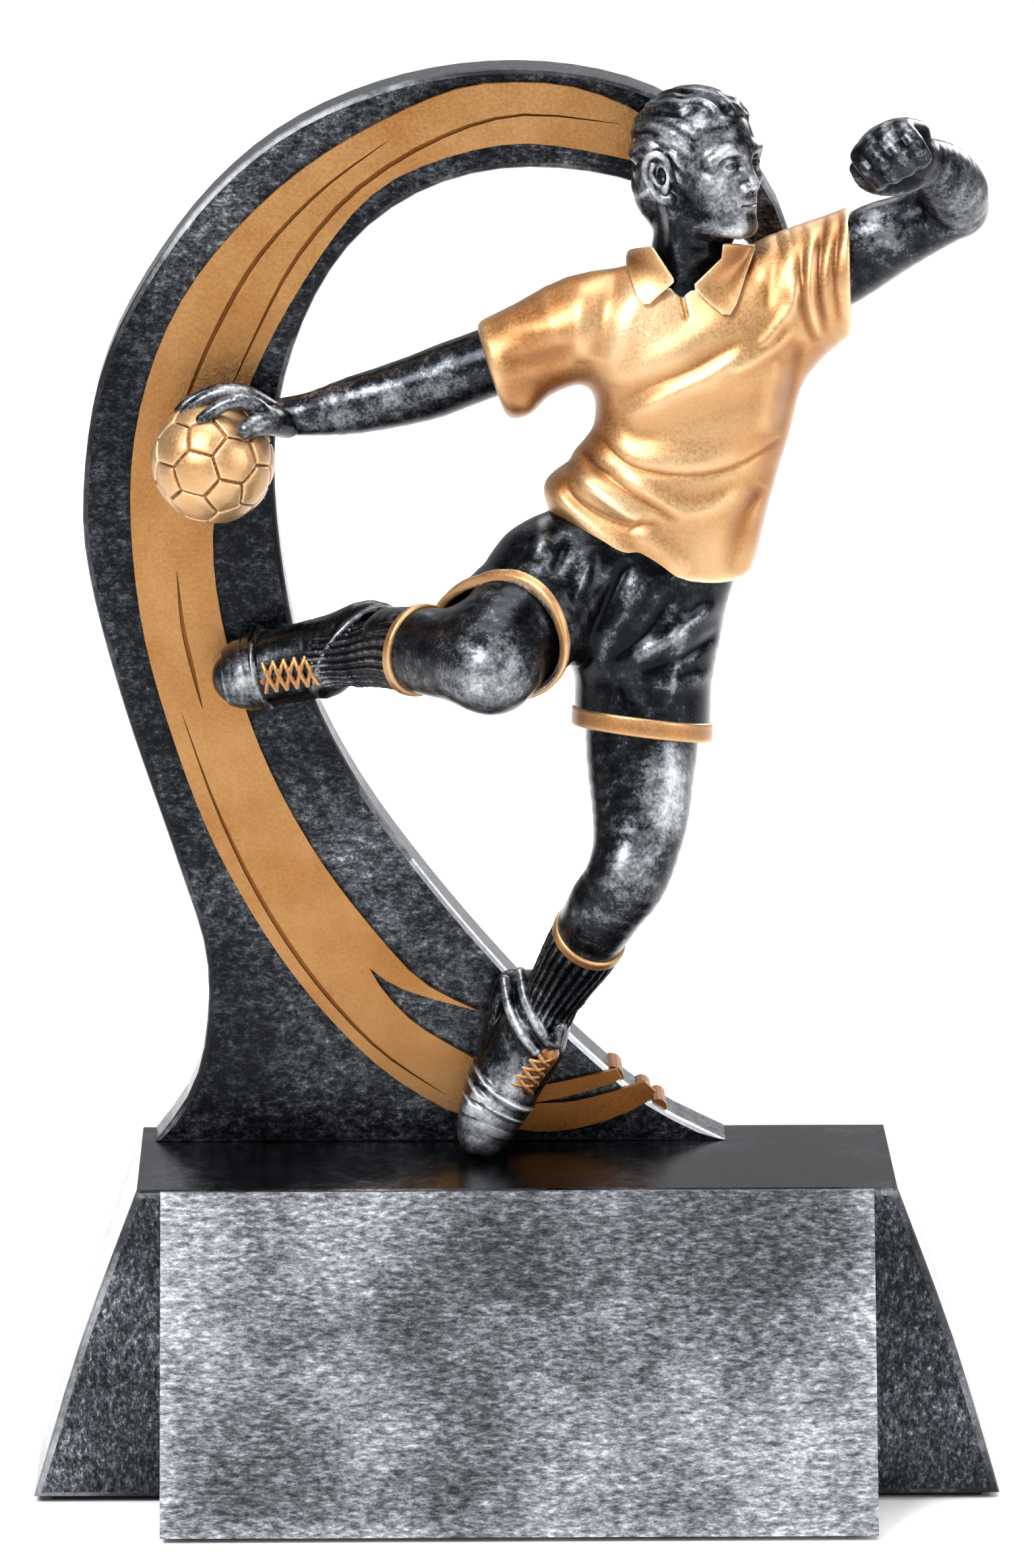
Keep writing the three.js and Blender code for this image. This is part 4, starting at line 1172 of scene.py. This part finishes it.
RIGHT_SOCK_TOP = ((-10.9, -17.1, 60.9), (0.66, -0.75, -0.05))
LEFT_SOCK_TOP = ((8.2, -14.4, 27.4), (0.40, -0.55, 0.73))


def right_sock(p):
    return ribbed(p, RIGHT_SOCK, UP, RIGHT_SOCK_TOP, 26)


def left_sock(p):
    return ribbed(p, LEFT_SOCK, ACROSS, LEFT_SOCK_TOP, 24)


def cuff_band(p, rows, side, plane, wide, proud, leg):
    """A rounded band round the top of a sock, hollow where the leg passes through it."""
    out = limb(p, rows, side)
    past = beyond(p, *plane)
    ring = meet(out - proud, -(out + 0.8), 0.2)
    return carve(meet(ring, np.abs(past + 0.1) - wide / 2, 0.4), leg + 0.1, 0.1)


def right_sock_band(p):
    return cuff_band(p, RIGHT_SOCK, UP, RIGHT_SOCK_TOP, 1.3, 0.3, limb(p, RIGHT_SHIN, UP))


def left_sock_band(p):
    return cuff_band(p, LEFT_SOCK, ACROSS, LEFT_SOCK_TOP, 1.5, 0.2, limb(p, LEFT_LEG))


RIGHT_SHOE = [
    (-15.8, -10.8, 60.7, 3.6, 3.6), (-19.8, -8.9, 59.3, 3.8, 3.7), (-22.8, -7.4, 58.2, 4.4, 4.0),
    (-26.6, -6.2, 57.1, 4.3, 4.1), (-29.6, -5.5, 56.2, 4.0, 4.0), (-31.2, -5.3, 55.8, 3.2, 3.3),
]
LEFT_SHOE = [
    (3.2, -6.4, 18.4, 3.4, 3.8), (1.7, -6.1, 13.6, 4.2, 4.3), (-0.6, -5.9, 9.4, 4.1, 4.3),
    (-2.6, -6.0, 5.4, 3.8, 4.1), (-3.7, -6.2, 2.8, 3.0, 3.3),
]
LEFT_HEEL = [(2.4, -4.6, 18.2, 3.4, 3.0), (-0.2, -2.9, 18.8, 2.4, 2.2)]
RIDGE = {"high": 0.46, "wide": 0.021}  # in mm, and as a share of the shoe's length
PAD = {"high": 0.4, "wide": 0.5}  # the padded edge of a shoe's opening
RIGHT_OPENING = ((-21.4, -12.7, 59.6), (0.60, -0.72, -0.36))
RIGHT_SOLE = [
    (-21.4, -5.8, 60.4, 1.1, 3.2), (-26.4, -4.6, 59.4, 1.1, 3.4), (-30.6, -4.2, 58.2, 1.0, 3.2),
    (-32.6, -4.4, 57.0, 0.9, 2.4),
]
RIGHT_HEEL = [
    (-23.3, -7.4, 59.5, 2.6), (-19.9, -7.8, 61.1, 2.6), (-16.4, -8.0, 62.6, 2.5),
    (-13.4, -8.2, 61.8, 2.0),
]
LEFT_SOLE = [
    (-1.6, -2.8, 18, 1.1, 2.6), (-3.2, -3.8, 12, 1.1, 3.0), (-4.8, -4.8, 6.6, 1.0, 3.0),
    (-4.9, -5.4, 3.4, 0.9, 2.2),
]


def shoe(p, rows, side, ridges, lean, lean_at):
    """A low sports shoe with raised bands across its upper at ridges (0 at the ankle, 1 at the toe)."""
    d, length, angle = limb(p, rows, side, around=True)
    at = length + lean * np.cos(angle - lean_at)
    for ridge in ridges:
        d = d - RIDGE["high"] * np.exp(-(((at - ridge) / RIDGE["wide"]) ** 2))
    return d


def right_shoe(p):
    d = shoe(p, RIGHT_SHOE, UP, (0.69, 0.755, 0.82, 0.89), 0.04, 1.2)
    d = join(d, limb(p, RIGHT_SOLE, UP), 0.5)
    past = beyond(p, *RIGHT_OPENING)
    edge = PAD["high"] * np.exp(-(((past + PAD["wide"]) / PAD["wide"]) ** 2))
    d = meet(d - edge, past, 0.3)
    return join(d, limb(p, RIGHT_HEEL, UP), 1.0)


LEFT_STRAPS = [
    [
        (-1.2, -6.2, 20.6, 0.55), (-0.6, -8.0, 17.8, 0.75), (0.8, -9.8, 15.0, 0.75),
        (2.2, -10.4, 13.2, 0.6),
    ],
    [
        (0.6, -8.0, 22.0, 0.55), (1.2, -9.4, 19.2, 0.75), (2.6, -10.6, 16.2, 0.75),
        (3.6, -10.6, 14.4, 0.6),
    ],
]
LEFT_KNOT = [(4.4, -10.2, 14.2, 0.9), (5.0, -10.2, 16.0, 0.8)]


def left_shoe(p):
    d = shoe(p, LEFT_SHOE, ACROSS, (0.56, 0.65, 0.74), 0.07, -2.2)
    d = join(d, limb(p, LEFT_HEEL), 1.2)
    d = join(d, limb(p, LEFT_SOLE), 0.5)
    return join(with_tubes(p, d, LEFT_STRAPS, 0.3), tube(p, LEFT_KNOT), 0.5)


LACE_BOW = 0.55  # how far laces bow out between the eyelets


def laces(p, corners, rows):
    """Crossed laces between two rows of eyelets: corners are the ends of both rows."""
    left0, left1, right0, right1 = (np.asarray(c, float) for c in corners)
    steps = np.arange(rows)[:, None] / (rows - 1)
    lefts = left0 + steps * (left1 - left0)
    rights = right0 + steps * (right1 - right0)
    bow = unit(np.cross(left1 - left0, right0 - left0)) * LACE_BOW
    d = np.full(len(p), FAR, np.float32)
    for i in range(rows - 1):
        for a, b in ((lefts[i], rights[i + 1]), (rights[i], lefts[i + 1])):
            middle = (a + b) / 2 + bow * 0.8
            near_a, near_b = ((end + middle) / 2 + bow * 0.25 for end in (a, b))
            rope = [(*a, 0.26), (*near_a, 0.28), (*middle, 0.3), (*near_b, 0.28), (*b, 0.26)]
            d = join(d, tube(p, rope), 0.08)
    return d


RIGHT_EYELETS = [(-22.6, -11.2, 59.4), (-28.6, -9.9, 58.2), (-22.3, -11.6, 56.2), (-28.2, -9.7, 54.9)]
LEFT_EYELETS = [(2.5, -10.4, 13.0), (-0.7, -9.9, 9.4), (4.3, -9.6, 12.2), (1.8, -9.3, 8.0)]
RIGHT_TONGUE = [(-22.4, -9.4, 57.4, 1.6, 2.0), (-28.4, -7.9, 56.2, 1.5, 2.0)]
LEFT_TONGUE = [(3.3, -8.4, 12.6, 1.7, 1.9), (0.7, -8.0, 8.8, 1.7, 1.9)]


def right_laces(p):
    return join(laces(p, RIGHT_EYELETS, 6), limb(p, RIGHT_TONGUE, UP), 0.1)


def left_laces(p):
    return join(laces(p, LEFT_EYELETS, 5), limb(p, LEFT_TONGUE), 0.1)


# ---- the head ----
HEAD_AT = np.array([20.6, -12.1, 115.45])
HEAD_SIZE = 0.97
HEAD_YAW = math.radians(51)  # the face looks this far from the viewer towards +X
HEAD_TILT = math.radians(4)  # and this far up


def head_axes():
    """Forward, left and up of the head."""
    level = np.array([math.sin(HEAD_YAW), -math.cos(HEAD_YAW), 0.0])
    left = np.array([math.cos(HEAD_YAW), math.sin(HEAD_YAW), 0.0])
    forward = level * math.cos(HEAD_TILT) + np.array([0, 0, math.sin(HEAD_TILT)])
    return np.array([forward, left, np.cross(forward, left)])


HEAD_AXES = head_axes()
BROW = [(4.8, 4.2, 0.6, 0.5), (5.9, 3.1, 1.35, 0.6), (6.35, 1.7, 1.35, 0.6), (6.35, 0.6, 1.1, 0.55)]
JAW = [(-0.8, 4.35, -3.2, 1.3), (0.9, 4.1, -5.9, 1.25), (3.6, 2.6, -7.0, 1.2), (5.4, 0.9, -7.35, 1.2)]
CHEEK = (4.1, 3.5, -2.0)
EYE = (5.0, 2.3, -0.15)
NOSE = [(5.8, 0, 0.9, 0.55), (6.5, 0, -0.6, 0.6), (7.2, 0, -1.9, 0.68), (7.4, 0, -2.5, 0.74)]
UPPER_LIP = [(5.8, 1.7, -4.75, 0.2), (6.55, 0.8, -4.45, 0.36), (6.7, 0, -4.5, 0.36)]
LOWER_LIP = [(5.8, 1.6, -4.9, 0.2), (6.5, 0.7, -5.25, 0.42), (6.65, 0, -5.3, 0.44)]
MOUTH = [(6.0, 1.9, -4.8, 0.07), (6.75, 1.0, -4.83, 0.09), (7.1, 0, -4.86, 0.1)]
HELIX = [
    (-0.1, 5.75, -0.6, 0.3), (-0.2, 6.2, 0.5, 0.34), (-1.0, 6.6, 1.1, 0.36), (-1.9, 6.85, 0.7, 0.36),
    (-2.3, 6.8, -0.6, 0.36), (-1.9, 6.45, -2.0, 0.34), (-1.1, 6.05, -3.1, 0.42), (-0.4, 5.7, -3.1, 0.42),
]
HAIRLINE = [
    (9, 5.6), (6.2, 5.2), (5.0, 4.7), (4.1, 3.9), (3.3, 3.0), (3.1, 1.7), (2.3, 0.9), (1.7, -0.4),
    (1.2, -2.0), (0.4, -2.1), (0.0, -0.6), (0.0, 0.9), (-1.2, 1.5), (-2.2, 0.8), (-2.4, -1.4),
    (-2.5, -3.4), (-3.0, -5.4), (-4.2, -7.2), (-7, -8.2), (-12, -8), (-12, 13), (9, 13),
]
WHORL = unit((-0.72, 0.12, 0.68))  # the hair grows out from this point at the back of the crown
HAIR_CENTRE = (-0.9, 0, 1.9)
BROAD_LOCKS = {"count": 9, "high": 0.18}
FINE_LOCKS = {"count": 24, "high": 0.10}


def both_sides(q):
    """Lays the head's right half on its left, so that one form shapes both."""
    return np.stack([q[:, 0], np.abs(q[:, 1]), q[:, 2]], -1)


def face(q):
    """The skull and face in the head's own frame, without hair. Plain, calm and made up."""
    d = join(egg(q, (-0.8, 0, 1.8), (7.35, 6.05, 6.4)), egg(q, (2.2, 0, -2.2), (4.4, 4.7, 6.0)), 1.8)
    d = join(d, egg(q, (-3.6, 0, -2.4), (4.0, 5.4, 5.6)), 1.0)
    s = both_sides(q)
    d = with_tubes(s, d, [JAW], 1.6)
    d = join(d, ball_of(q, (5.5, 0, -7.2), 1.2), 1.4)
    d = join(d, egg(s, CHEEK, (1.4, 1.2, 1.0)), 1.8)
    d = join(d, egg(q, (4.4, 0, -4.75), (2.3, 2.5, 2.2)), 1.5)
    d = with_tubes(s, d, [BROW], 1.2)
    d = carve(d, egg(s, (6.9, 2.3, -0.1), (1.75, 1.45, 0.9)), 1.0)
    lids = carve(ball_of(s, EYE, 1.42), egg(s, (6.6, 2.35, -0.15), (1.6, 1.0, 0.40)), 0.1)
    d = join(d, lids, 0.35)
    d = np.minimum(d, ball_of(s, EYE, 1.2))
    d = join(d, tube(q, NOSE), 0.9)
    d = join(d, ball_of(s, (6.75, 0.8, -2.85), 0.55), 0.4)
    d = carve(d, egg(s, (7.0, 0.42, -3.3), (0.4, 0.2, 0.28)), 0.12)
    d = join(join(d, tube(s, UPPER_LIP), 0.35), tube(s, LOWER_LIP), 0.35)
    return carve(d, tube(s, MOUTH), 0.15)


EAR_ROOT = np.array([-0.6, 5.5, -1.2], np.float32)
EAR_SIZE = 1.22
EAR_AXES = [(0.94, 0.34, 0), (-0.34, 0.94, 0), (0, 0, 1)]
EAR_INNER = [(-1.5, 6.6, 0.1, 0.28), (-1.75, 6.55, -0.8, 0.28), (-1.2, 6.2, -1.9, 0.26)]


def ear(q):
    s = (both_sides(q) - EAR_ROOT) / EAR_SIZE + EAR_ROOT
    plate = egg(s, (-1.1, 5.9, -0.9), (1.25, 0.55, 2.1), EAR_AXES)
    d = join(tube(s, HELIX, per=3), plate, 0.25)
    d = with_tubes(s, d, [EAR_INNER], 0.15)
    d = carve(d, egg(s, (-0.75, 6.5, -1.0), (0.6, 0.75, 0.85)), 0.2)
    return join(d, egg(s, (-0.1, 5.7, -1.2), (0.3, 0.5, 0.5)), 0.2) * EAR_SIZE


def hair(q):
    """How high the hair stands off the skin: swept locks that spread from the whorl."""
    edge = -polygon_off(q, HAIRLINE)
    edge = edge + 0.35 * noise(q, 1.1)
    away = q - np.asarray(HAIR_CENTRE, np.float32)
    away = away / np.maximum(np.linalg.norm(away, axis=1, keepdims=True), 1e-6)
    side = unit(np.cross(WHORL, INWARD))
    other = np.cross(WHORL, side)
    turn = np.arctan2(away @ other.astype(np.float32), away @ side.astype(np.float32))
    reach = np.arccos(np.clip(away @ WHORL.astype(np.float32), -1, 1))
    swept = turn - 0.7 * reach + 0.2 * noise(q, 3.4)
    broad = BROAD_LOCKS["high"] * np.sin(swept * BROAD_LOCKS["count"] + 2.2 * noise(q, 3.2))
    fine = FINE_LOCKS["high"] * np.sin(swept * FINE_LOCKS["count"] + 2.6 * noise(q, 2.2))
    lock = broad + fine * (0.55 + 0.45 * noise(q, 2.0)) + 0.04 * noise(q, 0.9)
    lock *= np.clip((q[:, 2] + 6.5) / 4, 0.3, 1)
    shown = np.clip(edge / 0.7, 0, 1)
    body = 0.2 + 0.34 * np.clip(edge / 2.2, 0, 1)
    return np.where(edge > 0, shown * (body + lock * np.clip(reach / 0.25, 0.2, 1)), 0)


NECK = [
    (20.6, -12.0, 113, 4.6), (20.0, -11.9, 109, 4.4), (19.0, -11.8, 104, 4.1), (18.7, -11.9, 100, 4.3),
    (18.5, -11.9, 96, 4.6),
]
NECK_CORDS = [
    [(17.8, -15.9, 110.6, 0.8), (18.2, -15.5, 105.6, 0.8), (18.5, -15.3, 101.0, 0.7)],
    [(23.6, -11.4, 110.6, 0.8), (22.2, -13.8, 105.0, 0.8), (19.6, -15.3, 101, 0.7)],
]
THROAT = ((20.6, -15.0, 105.6), 0.8)


def head(p):
    q = ((p - HEAD_AT.astype(np.float32)) @ HEAD_AXES.T.astype(np.float32)) / HEAD_SIZE
    d = face(q)
    close = np.abs(d) < 2.5
    d[close] -= hair(q[close])
    d = join(d, ear(q), 0.3) * HEAD_SIZE
    neck = with_tubes(p, limb(p, NECK), NECK_CORDS, 1.8)
    neck = join(neck, ball_of(p, *THROAT), 1.6)
    return join(d, neck, 1.6)


# ---- every sculpted piece ----
# field, grid step in mm, material
SCULPTED = [
    (head, 0.125, SILVER_FIGURE),
    (collar, 0.14, GOLD),
    (shirt, 0.22, GOLD),
    (right_arm, 0.24, SILVER_FIGURE),
    (right_hand, 0.13, SILVER_FIGURE),
    (ball, 0.16, GOLD),
    (left_arm, 0.24, SILVER_FIGURE),
    (left_fist, 0.13, SILVER_FIGURE),
    (shorts, 0.22, SILVER_FIGURE),
    (right_hem_band, 0.16, GOLD_BAND),
    (left_hem_band, 0.16, GOLD_BAND),
    (right_leg, 0.24, SILVER_FIGURE),
    (left_leg, 0.24, SILVER_FIGURE),
    (right_sock, 0.17, SILVER_FIGURE),
    (left_sock, 0.17, SILVER_FIGURE),
    (right_sock_band, 0.14, GOLD_BAND),
    (left_sock_band, 0.14, GOLD_BAND),
    (right_shoe, 0.16, SILVER_FIGURE),
    (left_shoe, 0.16, SILVER_FIGURE),
    (right_laces, 0.12, GOLD_WARM),
    (left_laces, 0.12, GOLD_WARM),
]
MARGIN = 1.6  # how far past the CAD node's box a piece may reach, in mm
WIDE_MARGINS = {"right_hem_band": 4.6, "right_shoe": 4.2, "shorts": 3.6}
for row in SCULPTED:
    sculpt(*row)


# ---- finishes of the CAD pieces that stay ----
SHARP_FROM, ROUNDED_FROM = math.radians(30), math.radians(40)


def finish_cad(name, material, edge=None, width=0.3):
    """Gives a CAD piece its finish and a small rounding on its edges."""
    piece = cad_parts[name]
    piece.data.materials.clear()
    piece.data.materials.append(material)
    piece.data.set_sharp_from_angle(angle=SHARP_FROM)
    bevel = piece.modifiers.new("rounding", "BEVEL")
    bevel.width = width * MM
    bevel.segments = 2
    bevel.limit_method = "ANGLE"
    bevel.angle_limit = ROUNDED_FROM
    bevel.harden_normals = True
    if edge:
        piece.data.materials.append(edge)
        bevel.material = 1


def colour_faces(name, material, chosen):
    """Gives the faces of a CAD piece that chosen picks their own finish."""
    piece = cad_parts[name]
    slot = len(piece.data.materials)
    piece.data.materials.append(material)
    place = np.array([piece.matrix_world @ v.co for v in piece.data.vertices]) / MM - DECK
    for face in piece.data.polygons:
        if chosen(place[list(face.vertices)], face.normal):
            face.material_index = slot


# the stretch of the arch's inner front edge that gets a painted highlight
ARCH_FOOT = {"from_x": -12, "to_z": 42}
GROOVES = (-0.9, -0.4)  # y between which the floors of the ribbon's grooves lie


def slanted(part):
    """Whether one part of a normal is that of a rounded edge."""
    return 0.2 < abs(part) < 0.97


def faces_up(corners, normal):
    return normal.z > 0.9


def low_inner_edge(corners, normal):
    """The rounded front edge of the arch's foot, on its open side."""
    x, _, z = corners.mean(axis=0)
    at_foot = x > ARCH_FOOT["from_x"] and z < ARCH_FOOT["to_z"]
    return slanted(normal.y) and normal.y < 0 and at_foot


def in_groove(corners, normal):
    return GROOVES[0] < corners[:, 1].max() < GROOVES[1]


def rounded_along(axis):
    """Picks the faces that round a piece's edges at both ends of an axis."""
    return lambda corners, normal: slanted(normal[axis])


# Where the strands wrap the arch's edge: middle in x and z, radius.
HUMPS = [((11.3, 7.4), 1.3), ((14.8, 5.0), 1.1), ((16.6, 3.8), 1.0)]


def on_hump(corners, normal):
    for middle, radius in HUMPS:
        off = np.linalg.norm(corners[:, [0, 2]] - middle, axis=1)
        if np.all(np.abs(off - radius) < 0.04 * radius):
            return True
    return False


finish_cad("plinth", PLINTH, RIM, 0.4)
colour_faces("plinth", RIM, rounded_along(1))
colour_faces("plinth", PLINTH_TOP, faces_up)
finish_cad("front_panel", PANEL, EDGE, 0.4)
colour_faces("front_panel", EDGE, rounded_along(0))
finish_cad("arch", BLOCK, RIM, 0.2)
colour_faces("arch", RIM, rounded_along(1))
# painted highlight: the bright edge finish on the rounded inner front edge of the arch's foot
colour_faces("arch", EDGE, low_inner_edge)
colour_faces("arch", GOLD_WARM_FLAT, on_hump)
finish_cad("ribbon", GOLD_FLAT, None, 0.12)
colour_faces("ribbon", GOLD_GROOVE, in_groove)
finish_cad("ribbon_heel_strand", GOLD_WARM_FLAT, None, 0.15)
finish_cad("ribbon_toe_strand", GOLD_WARM_FLAT, None, 0.15)
finish_cad("base_felt", FELT, None, 0.1)
for name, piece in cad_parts.items():
    if "_pin" in name or "_dowel" in name:
        piece.data.materials.clear()
        piece.data.materials.append(STEEL)


# ---- floor, light ----
FLOOR_REACH = 3.0
FLOOR_GAP = 0.02 * MM  # keeps the sheet under the plinth clear of the floor
SKY = {"Color": (0.95, 0.97, 1.0, 1), "Strength": 0.42}


def make_floor():
    mesh = bpy.data.meshes.new("floor")
    corners = [(x * FLOOR_REACH, y * FLOOR_REACH, 0) for x, y in ((-1, -1), (1, -1), (1, 1), (-1, 1))]
    mesh.from_pydata(corners, [], [(0, 1, 2, 3)])
    mesh.materials.append(plain("floor", (0.86, 0.86, 0.86), 0.0, 0.6))
    floor = bpy.data.objects.new("floor", mesh)
    floor.location.z = cad_low.z - FLOOR_GAP
    bpy.context.scene.collection.objects.link(floor)


LIGHTS = [
    # name, place, aim, watts, size
    ("key", (-0.55, -0.75, 0.85), AIM, 22.0, 0.5),
    ("fill", (0.85, -0.55, 0.45), AIM, 7.0, 0.5),
    ("top", (0.05, 0.1, 1.1), AIM, 12.0, 0.7),
    ("rim", (0.5, 0.8, 0.5), AIM, 5.0, 0.4),
    ("backdrop", (0.0, 1.6, 1.4), (0.0, 1.6, 0.0), 16.0, 1.0),
]


def make_lights():
    for name, place, aim, watts, size in LIGHTS:
        data = bpy.data.lights.new(name, "AREA")
        data.shape = "SQUARE"
        data.size = size
        data.energy = watts
        lamp = bpy.data.objects.new(name, data)
        lamp.location = place
        lamp.rotation_mode = "QUATERNION"
        lamp.rotation_quaternion = (Vector(aim) - lamp.location).to_track_quat("-Z", "Y")
        bpy.context.scene.collection.objects.link(lamp)
    world = bpy.data.worlds.new("studio")
    world.use_nodes = True
    sky = world.node_tree.nodes["Background"]
    for name, value in SKY.items():
        sky.inputs[name].default_value = value
    bpy.context.scene.world = world


make_floor()
make_lights()
bpy.context.scene.view_settings.view_transform = "Standard"
